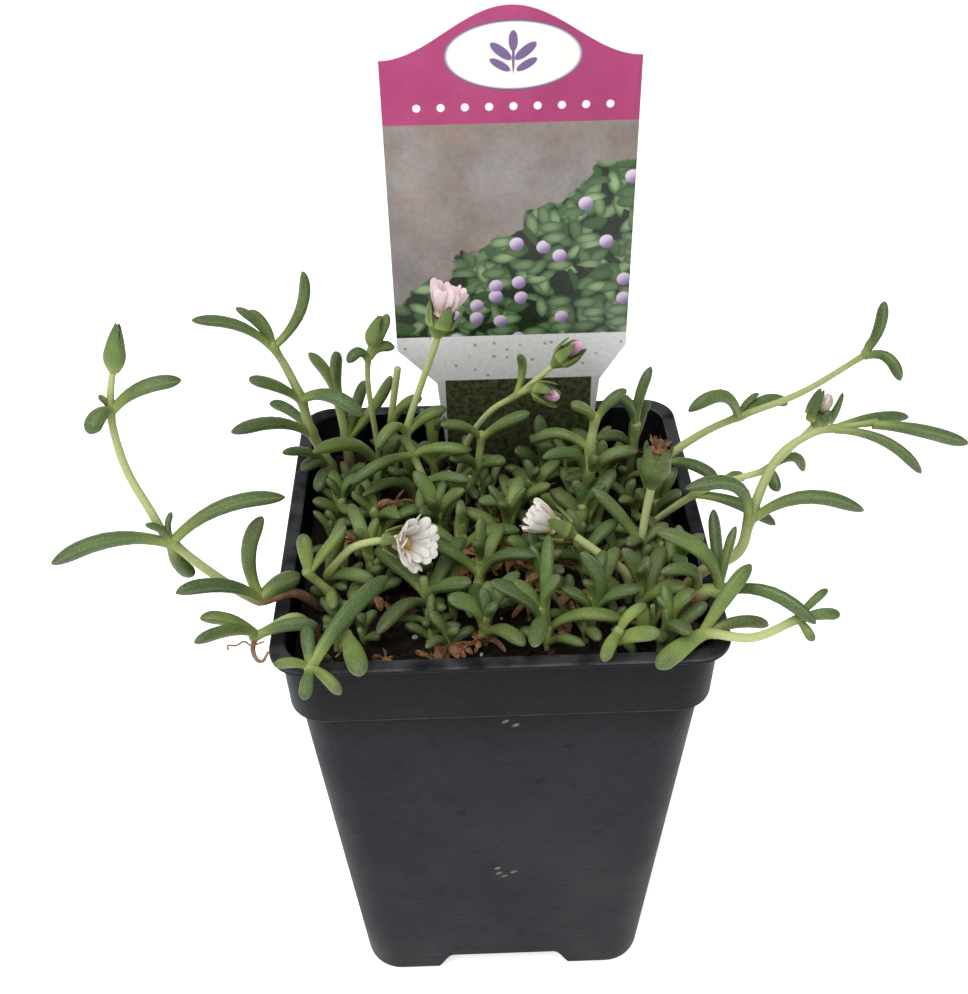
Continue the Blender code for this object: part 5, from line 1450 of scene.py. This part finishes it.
def panel_print(x, z, place):
    """Broad leaves and lilac berries that climb from the left foot to the right top, on mottled stone."""
    fine = patches(place, 900.0, 0.3)
    stone = layered((122, 114, 112), (patches(place, 110.0, 0.3), (158, 152, 150)),
                    (scaled_to(patches(place, 60.0, 0.2, 0.45), 0.0, 0.45), (156, 124, 98)),
                    (scaled_to(fine, 0.0, 0.3), (92, 88, 88)))
    spots = add(place.id_data, "ShaderNodeCombineXYZ", {0: x, 1: z, 2: 0.0})[0]
    leaves = colour_mix(fine, (16, 24, 14), (36, 50, 32))
    for angle in BLADE_ANGLES:
        mask, light = blade_cells(spots, angle)
        leaves = colour_mix(mask, leaves, colour_mix(light, (52, 84, 44), (150, 176, 130)))
    wave = add(place.id_data, "ShaderNodeTexNoise", {"Vector": spots, "Scale": 0.14, "Detail": 3.0})["Fac"]
    bank = calc("ADD", calc("ADD", BANK_Z, times(wave, 16.0)), times(x, BANK_SLOPE))
    berry, lit, centre = berries(spots, 4.6, 0.62)
    over, up, _ = parts(centre)
    grown = calc("LESS_THAN", up, calc("ADD", BERRIES_Z, times(over, BANK_SLOPE)))
    return layered(stone, (step_up(minus(bank, z), -0.4, 0.6), leaves),
                   (times(berry, grown), colour_mix(lit, (134, 108, 158), (228, 212, 234))))


def tag_finish():
    """Glossy card, printed on its front only: header, picture, speckled strip and dark stake."""
    made, shader, place = new_finish("tag_card", 0.35, 0.5)
    x, y, z = parts(vector("SCALE", place, 1 / MM))
    fine = patches(place, 900.0)
    specks = effect("dust specks", place, {"Specks per Metre": 700.0, "Speck Size": 0.3, "Cover": 0.14})
    strip = layered((238, 239, 241), (fine, (252, 252, 252)), (times(specks, 0.6), (124, 118, 126)))
    side = calc("ABSOLUTE", minus(x, STAKE_X))
    moss = layered((40, 44, 25), (fine, (98, 104, 72)),
                   (step_up(side, STAKE_HALF - 2.0, STAKE_HALF - 1.8), (232, 232, 230)))
    printed = layered(panel_print(x, z, place),
                      (step_up(z, HEADER_Z - 0.06, HEADER_Z + 0.06), header_print(x, z, place)),
                      (step_up(z, STRIP_Z + 0.06, STRIP_Z - 0.06), strip),
                      (step_up(z, CARD_EDGE_Z + 0.1, CARD_EDGE_Z - 0.1), moss))
    bare = colour_mix(fine, (232, 232, 230), (238, 238, 236))
    front = calc("LESS_THAN", y, PRINT_FRONT_Y)
    return coat(made, shader, colour_mix(front, bare, printed), fine, 0.00002)


# Solids made ring by ring

def make_object(name, rings, finish):
    """A closed skin over a row of rings, capped at both ends, as an object."""
    sides = len(rings[0])
    faces = [tuple(range(sides))[::-1]]
    for low in range(0, (len(rings) - 1) * sides, sides):
        for side in range(sides):
            after = (side + 1) % sides
            faces.append((low + side, low + after, low + sides + after, low + sides + side))
    last = (len(rings) - 1) * sides
    faces.append(tuple(range(last, last + sides)))
    mesh = bpy.data.meshes.new(name)
    mesh.from_pydata([point * MM for ring in rings for point in ring], [], faces)
    shell = bmesh.new()
    shell.from_mesh(mesh)
    bmesh.ops.recalc_face_normals(shell, faces=shell.faces)
    shell.to_mesh(mesh)
    shell.free()
    mesh.materials.append(finish)
    return linked(name, mesh)


def combine(target, tools, operation):
    """One Boolean of an object with several others, applied, the others then removed."""
    group = bpy.data.collections.new("tools")
    bpy.context.scene.collection.children.link(group)
    for tool in tools:
        bpy.context.scene.collection.objects.unlink(tool)
        group.objects.link(tool)
    modifier = target.modifiers.new("join", "BOOLEAN")
    modifier.operation = operation
    modifier.operand_type = "COLLECTION"
    modifier.collection = group
    modifier.solver = "EXACT"
    mesh = bpy.data.meshes.new_from_object(target.evaluated_get(bpy.context.evaluated_depsgraph_get()))
    target.modifiers.clear()
    target.data = mesh
    for tool in tools:
        bpy.data.objects.remove(tool, do_unlink=True)
    bpy.data.collections.remove(group)


def smoothed(thing, angle):
    thing.data.shade_smooth()
    thing.data.set_sharp_from_angle(angle=math.radians(angle))
    return thing


# Pot

def body_half(z):
    return FOOT_HALF + (BODY_TOP_HALF - FOOT_HALF) * z / LEDGE_Z


def wall_ring(half, z, inset=0.0):
    """One ring of the pot's wall: a square with round corners, which narrow towards the lip."""
    half -= inset
    corner = FOOT_CORNER + (LIP_CORNER - FOOT_CORNER) * z / POT_HEIGHT - inset
    ring = []
    for quarter in range(4):
        for step in range(CORNER_STEPS + 1):
            angle = math.radians(90 * (quarter + step / CORNER_STEPS))
            centre = math.radians(90 * quarter + 45)
            offset = (half - corner) * math.sqrt(2.0)
            ring.append(Vector((offset * math.cos(centre) + corner * math.cos(angle),
                                offset * math.sin(centre) + corner * math.sin(angle), z)))
    return ring


def edge_rings(half, z, radius, rising):
    """A quarter round on the pot's outside, from a level face up into a wall or the other way."""
    rings = []
    for step in range(EDGE_STEPS + 1):
        angle = math.pi / 2 * step / EDGE_STEPS
        if rising:
            rings.append(wall_ring(half, z + radius * (1 - math.cos(angle)), radius * (1 - math.sin(angle))))
        else:
            rings.append(wall_ring(half, z - radius * (1 - math.sin(angle)), radius * (1 - math.cos(angle))))
    return rings


def notch_blocks(name, wider, near, far, bottom, finish):
    """Four prisms of the foot notch's arch, one through the middle of each side."""
    half = []
    for step in range(NOTCH_STEPS + 1):
        share = step / NOTCH_STEPS
        across = NOTCH_HALF_TOP + (NOTCH_HALF_FLOOR - NOTCH_HALF_TOP) * share
        half.append((across + wider, NOTCH_HEIGHT / 2 * (1 + math.cos(math.pi * share)) + wider))
    half.append((NOTCH_HALF_FLOOR + wider, -CUT_PAST))
    outline = half + [(-across, up) for across, up in reversed(half)]
    blocks = []
    for quarter in range(4):
        angle = math.radians(90 * quarter)
        out = Vector((math.cos(angle), math.sin(angle), 0))
        side = Vector((-math.sin(angle), math.cos(angle), 0))
        rings = [[out * reach + side * across + UP * max(up, bottom) for across, up in outline]
                 for reach in (near, far)]
        blocks.append(make_object(f"{name}_{quarter}", rings, finish))
    return blocks


def build_pot(finish):
    """The moulded shell, with rounded edges, an arched notch in each side of its foot and four drains."""
    lip_under = POT_HEIGHT - LIP_THICKNESS
    pot = make_object("pot_shell", [
        *edge_rings(FOOT_HALF, 0.0, FOOT_ROUNDING, True),
        wall_ring(BODY_TOP_HALF, LEDGE_Z - EDGE),
        *edge_rings(COLLAR_FOOT_HALF, LEDGE_Z, EDGE, True),
        wall_ring(COLLAR_TOP_HALF, lip_under - EDGE),
        *edge_rings(LIP_HALF, lip_under, EDGE, True),
        *edge_rings(LIP_HALF, POT_HEIGHT, EDGE, False),
        wall_ring(COLLAR_TOP_HALF, POT_HEIGHT, WALL - EDGE),
        wall_ring(COLLAR_TOP_HALF, POT_HEIGHT - EDGE, WALL),
        wall_ring(COLLAR_FOOT_HALF, LEDGE_Z + LEDGE_SLOPE, WALL),
        wall_ring(BODY_TOP_HALF, LEDGE_Z - LEDGE_SLOPE, WALL),
        wall_ring(body_half(FLOOR), FLOOR + INNER_FOOT_ROUNDING, WALL),
        wall_ring(body_half(FLOOR), FLOOR, WALL + INNER_FOOT_ROUNDING),
    ], finish)
    bumps = notch_blocks("bump", WALL, FOOT_HALF - EDGE, FOOT_HALF - NOTCH_DEPTH - WALL, FLOOR / 2, finish)
    combine(pot, bumps, "UNION")
    cutters = notch_blocks("notch", 0.0, FOOT_HALF + CUT_PAST, FOOT_HALF - NOTCH_DEPTH, -CUT_PAST, finish)
    reach = FOOT_HALF - NOTCH_DEPTH / 2
    for x, y in ((reach, 0), (-reach, 0), (0, reach), (0, -reach)):
        rings = [circle(Vector((x, y, z)), UP, DRAIN_RADIUS, DRAIN_SIDES)
                 for z in (NOTCH_HEIGHT - CUT_PAST, DRAIN_TOP)]
        cutters.append(make_object("drain", rings, finish))
    combine(pot, cutters, "DIFFERENCE")
    return smoothed(pot, POT_SHARP_ANGLE)


# Tag

def tag_outline(inset):
    """The tag's outline as (x, z), anticlockwise from the stake's point."""
    right = [(STAKE_X + STAKE_NARROW_HALF - inset, STAKE_NARROW_Z),
             (STAKE_X + STAKE_HALF - inset, STAKE_TOP_Z), (TAG_X + TAG_HALF - inset, TAG_CARD_FOOT_Z)]
    top = []
    for index in range(TAG_TOP_STEPS + 1):
        x = TAG_HALF * (1 - 2 * index / TAG_TOP_STEPS)
        swell = TAG_SWELL * (1 + math.cos(math.pi * x / TAG_HALF)) / 2
        top.append((TAG_X + x * (TAG_HALF - inset) / TAG_HALF, TAG_SHOULDER_Z + swell - inset))
    left = [(TAG_X - TAG_HALF + inset, TAG_CARD_FOOT_Z), (STAKE_X - STAKE_HALF + inset, STAKE_TOP_Z),
            (STAKE_X - STAKE_NARROW_HALF + inset, STAKE_NARROW_Z)]
    point = [(STAKE_X + x, STAKE_POINT_Z + inset) for x in (-STAKE_POINT_HALF, STAKE_POINT_HALF)]
    return point + right + top + left


def build_tag(finish):
    half = TAG_THICKNESS / 2
    rings = []
    for y, inset in ((-half, TAG_EDGE), (-half + TAG_EDGE, 0.0), (half - TAG_EDGE, 0.0), (half, TAG_EDGE)):
        rings.append([Vector((x, TAG_Y + y, z)) for x, z in tag_outline(inset)])
    return smoothed(make_object("name_card", rings, finish), TAG_SHARP_ANGLE)


# Green pieces

def leaf_looks(rng, shoot, leaf):
    """How light a leaf is and how old: lower leaves are older, and runners' leaves are kept darker as
    painted shade.
    """
    age = rng.uniform(*YOUNG_AGES)
    if shoot.name in YOUNG_SHOOTS:
        return 1.0, 0.0
    if leaf.at <= 1:
        age = rng.uniform(*OLD_AGES) if rng.random() < OLD_CHANCE else age
    return rng.uniform(0.0, RUNNER_LIGHTEST if shoot.name in RUNNERS else LEAF_LIGHTEST), age


def cup_strands(flower, shoots, light):
    """The green cup and its lobes, or a closed bud wrapped in its own."""
    base, axis = flower_end(flower, shoots)
    start = base - axis * CUP_SINK
    reach = flower.cup
    wide = flower.radius

    def beside(out, up, away):
        """A point by the cup, from shares of its height and of its half width."""
        return start + axis * (reach * up) + out * wide * away

    if not flower.petals:
        strands = [turned_strand(start, axis, reach, wide * CLOSED_BUD_SHARE, BUD_PROFILE, light)]
        for index, out in enumerate(spread(axis, BUD_SEPALS, SEPAL_TURN)):
            height = reach * (1.0 - SEPAL_STAGGER * (index % 2))
            tip = start + axis * height + out * SEPAL_TIP_OUT + SEPAL_LEAN
            strands.append(blade_strand((beside(out, *SEPAL_ROOT), beside(out, *SEPAL_MIDDLE), tip),
                                        wide * SEPAL_WIDTH, tip - out * FAR, SEPAL_BASE, light,
                                        steps=LOBE_STEPS, share=lobe_share, thick=SEPAL_THICK))
        return strands
    strands = [turned_strand(start, axis, reach, wide, CUP_PROFILE, light)]
    horned = flower.name == "pale_bud"
    for index, out in enumerate(spread(axis, LOBE_COUNT, LOBE_TURN)):
        rise = min(HORN_LOW + out.x ** 2, 1.0) if horned else 1.0 if index % 2 else SHORTER_LOBE
        lean = flower.flare * (HORN_LEAN if horned else 1.0)
        tip = start + axis * (reach + flower.lobe * rise) + out * wide * lean
        curve = (beside(out, *LOBE_ROOT), beside(out, *LOBE_MIDDLE), tip)
        width = wide * (1.0 if horned else LOBE_WIDTH)
        strands.append(blade_strand(curve, width, tip - out * FAR, 1.0, HORN_SHADE if horned else light,
                                    steps=LOBE_STEPS, share=horn_share if horned else lobe_share,
                                    thick=HORN_THICK if horned else LOBE_THICK))
    return strands


def capsule_strands():
    """The swollen seed capsule: its body, its ribs and the lobes on its rim."""
    base = Vector(CAPSULE_BASE)
    axis = capsule_axis()

    def beside(out, up, away):
        return base + axis * up + out * away

    strands = [turned_strand(base - axis * CUP_SINK, axis, CAPSULE_HEIGHT, CAPSULE_RADIUS,
                             CAPSULE_PROFILE, CAPSULE_SHADE, CAPSULE_AGE)]
    for out in spread(axis, LOBE_COUNT, RIB_TURN):
        rib = [beside(out, *point) for point in RIB]
        strands.append(blade_strand(rib, RIB_WIDTH, rib[2] - out * FAR, RIB_BASE, CAPSULE_SHADE, RIB_AGE,
                                    LOBE_STEPS, thick=LOBE_THICK))
        root = beside(out, *RIM_ROOT)
        tip = beside(out, *RIM_TIP)
        bend = root + axis * RIM_BEND[0] + out * RIM_BEND[1]
        strands.append(blade_strand((root, bend, tip), RIM_WIDTH, tip - out * FAR, 1.0, CAPSULE_SHADE,
                                    CAPSULE_AGE, LOBE_STEPS, lobe_share, RIM_THICK))
    return strands


def dry_strand(points, thick, thin):
    """A dead thread, evenly drawn from thick to thin."""
    last = len(points) - 1
    radii = [thick + (thin - thick) * step / last for step in range(last + 1)]
    return line_strand(points, radii, age=DEAD_AGE, woody=1.0)


def shoot_strands(shoot, named, rng):
    """A stem, its leaves and every green thing that ends it."""
    bark = OLD_STEMS.get(shoot.name, BARK_SHARE) + rng.uniform(*BARK_SPREAD)
    strands = [stem_strand(shoot, STEM_STEPS, rng.uniform(*STEM_SHADES), bark)]
    for leaf in shoot.leaves:
        light, age = leaf_looks(rng, shoot, leaf)
        strands.append(leaf_strand(shoot, leaf, light, age, rng.uniform(SLIMMEST_LEAF, WIDEST_LEAF)))
    for flower in FLOWERS:
        if flower.shoot == shoot.name:
            strands += cup_strands(flower, named, CALYX_SHADE)
    if shoot.name == "stalk_pink_buds":
        strands.append(line_strand(smooth_path(LOWER_BUD_STALK, 4), [BUD_STALK_RADIUS] * 5, woody=1.0))
    if shoot.name == "stalk_capsule":
        strands += capsule_strands()
    if shoot.name == "shoot_left_low":
        strands.append(dry_strand(smooth_path(DRY_TENDRIL, 5), TENDRIL_THICK, TENDRIL_THIN))
        strands.append(dry_strand(smooth_path(DRY_THREAD, 4), THREAD_RADIUS, THREAD_RADIUS))
    return strands


def in_oval(x, y, oval):
    centre_x, centre_y, half_x, half_y = oval
    return (x - centre_x) ** 2 / half_x ** 2 + (y - centre_y) ** 2 / half_y ** 2 < 1


def filler_shoots(room):
    """Little sprouts on a loose grid over the soil wherever there is still room for a few leaves."""
    rng = random.Random(FILLER_SEED)
    sprouts = []
    reach = int(FILLER_HALF / FILLER_SPACING)
    for row, column in product(range(-reach, reach + 1), repeat=2):
        x = column * FILLER_SPACING + rng.uniform(-FILLER_SHIFT, FILLER_SHIFT)
        y = row * FILLER_SPACING + rng.uniform(-FILLER_SHIFT, FILLER_SHIFT)
        heading = rng.uniform(0, 180)
        tall = rng.uniform(*FILLER_HEIGHTS)
        bare = in_oval(x, y, HOLLOW) or in_oval(x, y, CLEARING) and rng.random() < CLEARING_SHARE
        if bare or max(abs(x), abs(y)) > FILLER_HALF or abs(y - TAG_Y) < TAG_MARGIN:
            continue
        foot = soil_top(x, y)
        path = [(x + FILLER_DRIFT * step * math.cos(heading), y + FILLER_DRIFT * step * math.sin(heading),
                 foot - FILLER_DEPTH + (tall + FILLER_DEPTH) * step / 2) for step in range(3)]
        leaves = []
        for at, side in product((1, 2), (0, 180)):
            way = math.degrees(heading) + 90 * at + side + rng.uniform(-FILLER_TURN, FILLER_TURN)
            leaves.append(Leaf(at, way, rng.uniform(*FILLER_RISES) + FILLER_STEEPER * (at - 1),
                               rng.uniform(*FILLER_LENGTHS) * (1.0 if at == 1 else FILLER_UPPER),
                               rng.uniform(*FILLER_WIDTHS), rng.uniform(*FILLER_BOWS)))
        sprout = Shoot(f"sprout_{len(sprouts)}", FILLER_RADII, path, leaves)
        kept = [fitted for fitted in (fit_leaf(room, sprout, leaf) for leaf in leaves) if fitted]
        if len(kept) > 1:
            sprouts.append(sprout._replace(leaves=kept))
    return sprouts


def filler_strands(sprouts):
    rng = random.Random(FILLER_SEED)
    strands = []
    for sprout in sprouts:
        strands.append(stem_strand(sprout, 2, rng.random(), FILLER_BARK))
        for leaf in sprout.leaves:
            light = rng.uniform(0.0, FILLER_LIGHTEST)
            age = rng.uniform(0.0, FILLER_OLDEST)
            strands.append(leaf_strand(sprout, leaf, light, age, rng.uniform(SLIMMEST_LEAF, WIDEST_LEAF),
                                       FILLER_STEPS))
    return strands


# Flowers

def petal_strands(flower, shoots, rng):
    """Rows of narrow petals on a small disc, or the furled petals of an opening bud."""
    seat, axis = petal_seat(flower, shoots)
    petals = flower.petals
    if not petals.open:
        length = petals.length * (PALE_BUD_SHARE if flower.name == "pale_bud" else 1.0)
        core_height, core_width = FURLED_CORE
        strands = [turned_strand(seat, axis, length * core_height, petals.width * core_width, FURLED_PROFILE)]
        middle_up, middle_out = FURLED_MIDDLE
        for out in spread(axis, FURLED_STRIPS, FURLED_TURN):
            top = length * rng.uniform(*FURLED_TOPS)
            curve = (seat + out * petals.width * FURLED_ROOT_OUT,
                     seat + axis * (top * middle_up) + out * petals.width * middle_out,
                     seat + axis * top + out * petals.width * rng.uniform(*FURLED_OPENINGS))
            strands.append(blade_strand(curve, petals.width * FURLED_WIDTH, seat + axis * top - out * FAR,
                                        FURLED_BASE, rng.random(), steps=PETAL_STEPS, share=petal_share))
        return strands
    disc = flower.radius * DISC_SHARE
    foot_up, foot_out = PETAL_FOOT
    middle_up, middle_out = PETAL_MIDDLE
    strands = [turned_strand(seat, axis, DISC_HEIGHT, disc, DISC_PROFILE)]
    for count, reach_share, flare_share, start in PETAL_ROWS:
        for out in spread(axis, count, start):
            reach = petals.length * reach_share * rng.uniform(*PETAL_REACHES)
            flare = petals.flare * flare_share * rng.uniform(*PETAL_FLARES)
            side = axis.cross(out) * rng.uniform(-PETAL_SIDEWAYS, PETAL_SIDEWAYS)
            root = seat + axis * (DISC_HEIGHT * foot_up) + out * disc * foot_out
            control = seat + axis * (reach * middle_up) + out * disc * middle_out * (0.4 + 0.6 * flare_share)
            tip = seat + axis * (reach * petals.lift) + out * flare + side
            twist = rng.uniform(-PETAL_TWIST, PETAL_TWIST)
            face = seat + axis * FAR + axis.cross(out) * (FAR * twist)
            width = petals.width * PETAL_SPREAD[petals.colour] * rng.uniform(*PETAL_WIDTHS)
            strands.append(blade_strand((root, control, tip), width, face, PETAL_BASE, rng.random(),
                                        steps=PETAL_STEPS, share=petal_share))
    return strands


def stamen_strands(flower, shoots, rng):
    """A tuft of fine threads, each with a grain of pollen on its end."""
    seat, axis = petal_seat(flower, shoots)
    foot = seat + axis * (DISC_HEIGHT - STAMEN_SINK)
    strands = []
    for ring, (count, out_share, height_share) in enumerate(STAMEN_RINGS):
        for out in spread(axis, count, STAMEN_TURN * ring):
            start = foot + out * STAMEN_RADIUS * out_share * STAMEN_FOOT
            reach = STAMEN_HEIGHT * height_share * rng.uniform(*STAMEN_REACHES)
            end = foot + axis * reach + out * STAMEN_RADIUS * out_share * rng.uniform(*STAMEN_SPREADS)
            points = [start.lerp(end, step) for step in STAMEN_STEPS]
            strands.append(line_strand(points, STAMEN_RADII, STAMEN_STEPS))
    return strands


def crown_strands(rng):
    """The dry brown remains of the flower on the capsule."""
    axis = capsule_axis()
    seat = Vector(CAPSULE_BASE) + axis * (CAPSULE_HEIGHT - CUP_SINK + SEAT_GAP)
    strands = [turned_strand(seat, axis, CROWN_HEIGHT, CROWN_RADIUS, CROWN_PROFILE, 0.8)]
    for out in spread(axis, CROWN_SPIKES, CROWN_TURN):
        reach = rng.uniform(*CROWN_REACHES)
        side = axis.cross(out)
        root = seat + axis * CROWN_ROOT_HEIGHT + out * rng.uniform(*CROWN_ROOTS)
        tip = (seat + axis * (CROWN_HEIGHT + reach) + out * rng.uniform(*CROWN_TIPS)
               + side * rng.uniform(*CROWN_SLANTS))
        curl = (root.lerp(tip, CROWN_CURL_AT) + axis * rng.uniform(*CROWN_LIFTS)
                + side * rng.uniform(*CROWN_CURLS))
        strands.append(blade_strand((root, curl, tip), rng.uniform(*CROWN_WIDTHS), seat + side * FAR, 0.9,
                                    rng.random(), steps=PETAL_STEPS, share=lobe_share))
    return strands


# Litter on the soil

def soil_sheet():
    """A fine sheet that lies on the soil, for crumbs to be scattered on."""
    steps = int(2 * LITTER_HALF / SHEET_STEP)
    across = [-LITTER_HALF + 2 * LITTER_HALF * step / steps for step in range(steps + 1)]
    verts = [(x * MM, y * MM, soil_top(x, y) * MM) for y in across for x in across]
    corners = [row * (steps + 1) + column for row in range(steps) for column in range(steps)]
    mesh = bpy.data.meshes.new("soil_sheet")
    mesh.from_pydata(verts, [], [(low, low + 1, low + steps + 2, low + steps + 1) for low in corners])
    return mesh


def scattered(name, finish, spacing, density, smallest, largest, tilt, rough, seed, detail=1):
    """One kind of crumb over the whole soil; sizes in millimetres, density per square metre."""
    return grow(name, soil_sheet(), "scatter",
                {"Spacing": spacing * MM, "Density": density, "Smallest": Vector(smallest) * MM,
                 "Largest": Vector(largest) * MM, "Tilt": tilt, "Roughness": rough * MM, "Detail": detail,
                 "Seed": seed, "Finish": finish})


def dead_leaf_strands(rng):
    """Clumps of withered leaves: thin curled blades that spread from the foot of an old shoot."""
    strands = []
    for x, y, lift, longest in DEAD_CLUMPS:
        foot = Vector((x, y, soil_top(x, y)))
        top = foot + UP * lift + Vector((rng.uniform(*DEAD_LEANS), rng.uniform(*DEAD_LEANS), 0))
        strands.append(line_strand([foot - UP, top], DEAD_STALK_RADII, shade=rng.random()))
        for _ in range(DEAD_LEAVES_EACH):
            angle = math.radians(rng.uniform(0, 360))
            out = Vector((math.cos(angle), math.sin(angle), 0))
            side = out.cross(UP)
            reach = longest * rng.uniform(*DEAD_REACHES)
            start = foot.lerp(top, rng.uniform(*DEAD_STARTS))
            control = (start + out * reach * DEAD_MIDDLE + UP * rng.uniform(*DEAD_BOWS)
                       + side * rng.uniform(*DEAD_LEANS))
            end = start + out * reach + UP * rng.uniform(*DEAD_DROOPS) + side * rng.uniform(*DEAD_CURLS)
            face = control + UP * FAR + side * (FAR * rng.uniform(*DEAD_TWISTS))
            strands.append(blade_strand((start, control, end), rng.uniform(*DEAD_WIDTHS), face, 0.4,
                                        rng.random(), steps=LOBE_STEPS))
    return strands


# Stage

def build_camera():
    camera = linked("camera", bpy.data.cameras.new("camera"))
    forward = (CAMERA_AIM - CAMERA_AT).normalized()
    right = forward.cross(UP).normalized()
    up = right.cross(forward)
    turned_right = right * math.cos(CAMERA_ROLL) + up * math.sin(CAMERA_ROLL)
    turned_up = up * math.cos(CAMERA_ROLL) - right * math.sin(CAMERA_ROLL)
    frame = Matrix((turned_right, turned_up, -forward)).transposed().to_4x4()
    frame.translation = CAMERA_AT * MM
    camera.matrix_world = frame
    camera.data.lens = LENS
    camera.data.sensor_width = SENSOR
    camera.data.clip_start = 0.01
    bpy.context.scene.camera = camera


def build_stage(finish):
    """The floor, the white surround and one soft round light."""
    rings = [[Vector((x * FLOOR_HALF, y * FLOOR_HALF, z)) for x, y in ((-1, -1), (1, -1), (1, 1), (-1, 1))]
             for z in (-FLOOR_THICKNESS, 0.0)]
    floor = make_object("floor", rings, finish)
    world = bpy.data.worlds.new("studio")
    bpy.context.scene.world = world
    world.use_nodes = True
    fill(world.node_tree.nodes["Background"], {"Color": (1.0, 1.0, 1.0, 1.0), "Strength": SKY_STRENGTH})
    lamp = bpy.data.lights.new("key", "AREA")
    lamp.shape = "DISK"
    lamp.size = KEY_SIZE
    lamp.energy = KEY_POWER
    key = linked("key", lamp)
    key.location = KEY_AT
    key.rotation_euler = (Vector(KEY_AIM) - Vector(KEY_AT)).to_track_quat("-Z", "Y").to_euler()
    bpy.context.scene.view_settings.view_transform = "Standard"


# The whole plant

def set_on(piece, slot, *nodes):
    """Sets a finished piece on the body, in place of its CAD nodes. Its slot is not used."""
    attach(piece, "root")
    if nodes:
        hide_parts(*nodes)


def build_finishes():
    for build in (dots_group, patches_group, specks_group, pale_line_group, sweep_tree, scatter_tree):
        build()
    return {
        "leaf": leaf_finish(),
        "stem": stem_finish(),
        "white": petal_finish("petal_white", (228, 204, 116), (246, 240, 232), (251, 248, 244)),
        "pink": petal_finish("petal_pink", (238, 212, 198), (240, 206, 212), (248, 220, 228)),
        "pink_bud": petal_finish("bud_pink", (206, 150, 166), (214, 130, 172), (244, 198, 226)),
        "pale_bud": petal_finish("bud_pale", (200, 190, 140), (236, 216, 196), (232, 210, 200)),
        "stamen": stamen_finish(),
        "brown": dry_finish("dry_brown", (90, 56, 38), (186, 138, 98)),
        "bark": dry_finish("bark_litter", (46, 32, 26), (84, 60, 46)),
        "straw": dry_finish("straw_pale", (150, 120, 84), (196, 172, 132)),
        "perlite": perlite_finish(),
        "pot": pot_finish(),
        "peat": peat_finish(),
        "tag": tag_finish(),
        "floor": floor_finish(),
    }


def build_green(shoots, named, room, finish):
    rng = random.Random(LOOKS_SEED)
    for shoot in shoots:
        grown = sweep("grown_" + shoot.name, shoot_strands(shoot, named, rng), LEAF_SIDES, finish["leaf"],
                      finish["stem"])
        set_on(smoothed(grown, RIM_ANGLE), "leaf_green", shoot.name)
    sprouts = filler_strands(filler_shoots(room))
    set_on(sweep("small_sprouts", sprouts, FILLER_SIDES, finish["leaf"], finish["stem"]), "leaf_green")


def build_flowers(named, finish):
    rng = random.Random(LOOKS_SEED)
    for flower in FLOWERS:
        if not flower.petals:
            continue
        colour = flower.petals.colour
        ring = sweep(flower.name + "_ring", petal_strands(flower, named, rng), PETAL_SIDES, finish[colour],
                     top=PETAL_TOP, keel=PETAL_KEEL)
        set_on(smoothed(ring, RIM_ANGLE), PETAL_SLOTS[colour], flower.name + "_petals")
        if flower.petals.open:
            tuft = sweep(flower.name + "_tuft", stamen_strands(flower, named, rng), PETAL_SIDES,
                         finish["stamen"])
            set_on(tuft, "stamen_yellow", flower.name + "_stamens")
    crown = sweep("dry_crown", crown_strands(rng), PETAL_SIDES, finish["brown"], top=0.2, keel=0.3)
    set_on(crown, "dry_brown", "capsule_crown")


def build_litter(finish):
    for slot in frame["nodes"]["soil"].material_slots:
        slot.material = finish["peat"]
    for name, look, *sizes in CRUMBS:
        set_on(scattered(name, finish[look], *sizes), "soil_peat")
    dead = sweep("dead_leaves", dead_leaf_strands(random.Random(LOOKS_SEED)), LEAF_SIDES, finish["brown"],
                 top=0.15, keel=0.5)
    set_on(dead, "dry_brown")


def main():
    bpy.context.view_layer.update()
    finish = build_finishes()
    build_camera()
    build_stage(finish["floor"])
    set_on(build_pot(finish["pot"]), "pot_plastic", "pot")
    set_on(build_tag(finish["tag"]), "tag_card", "tag")
    shoots, room = lay_out()
    named = {shoot.name: shoot for shoot in shoots}
    build_green(shoots, named, room, finish)
    build_flowers(named, finish)
    build_litter(finish)


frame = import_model()
main()
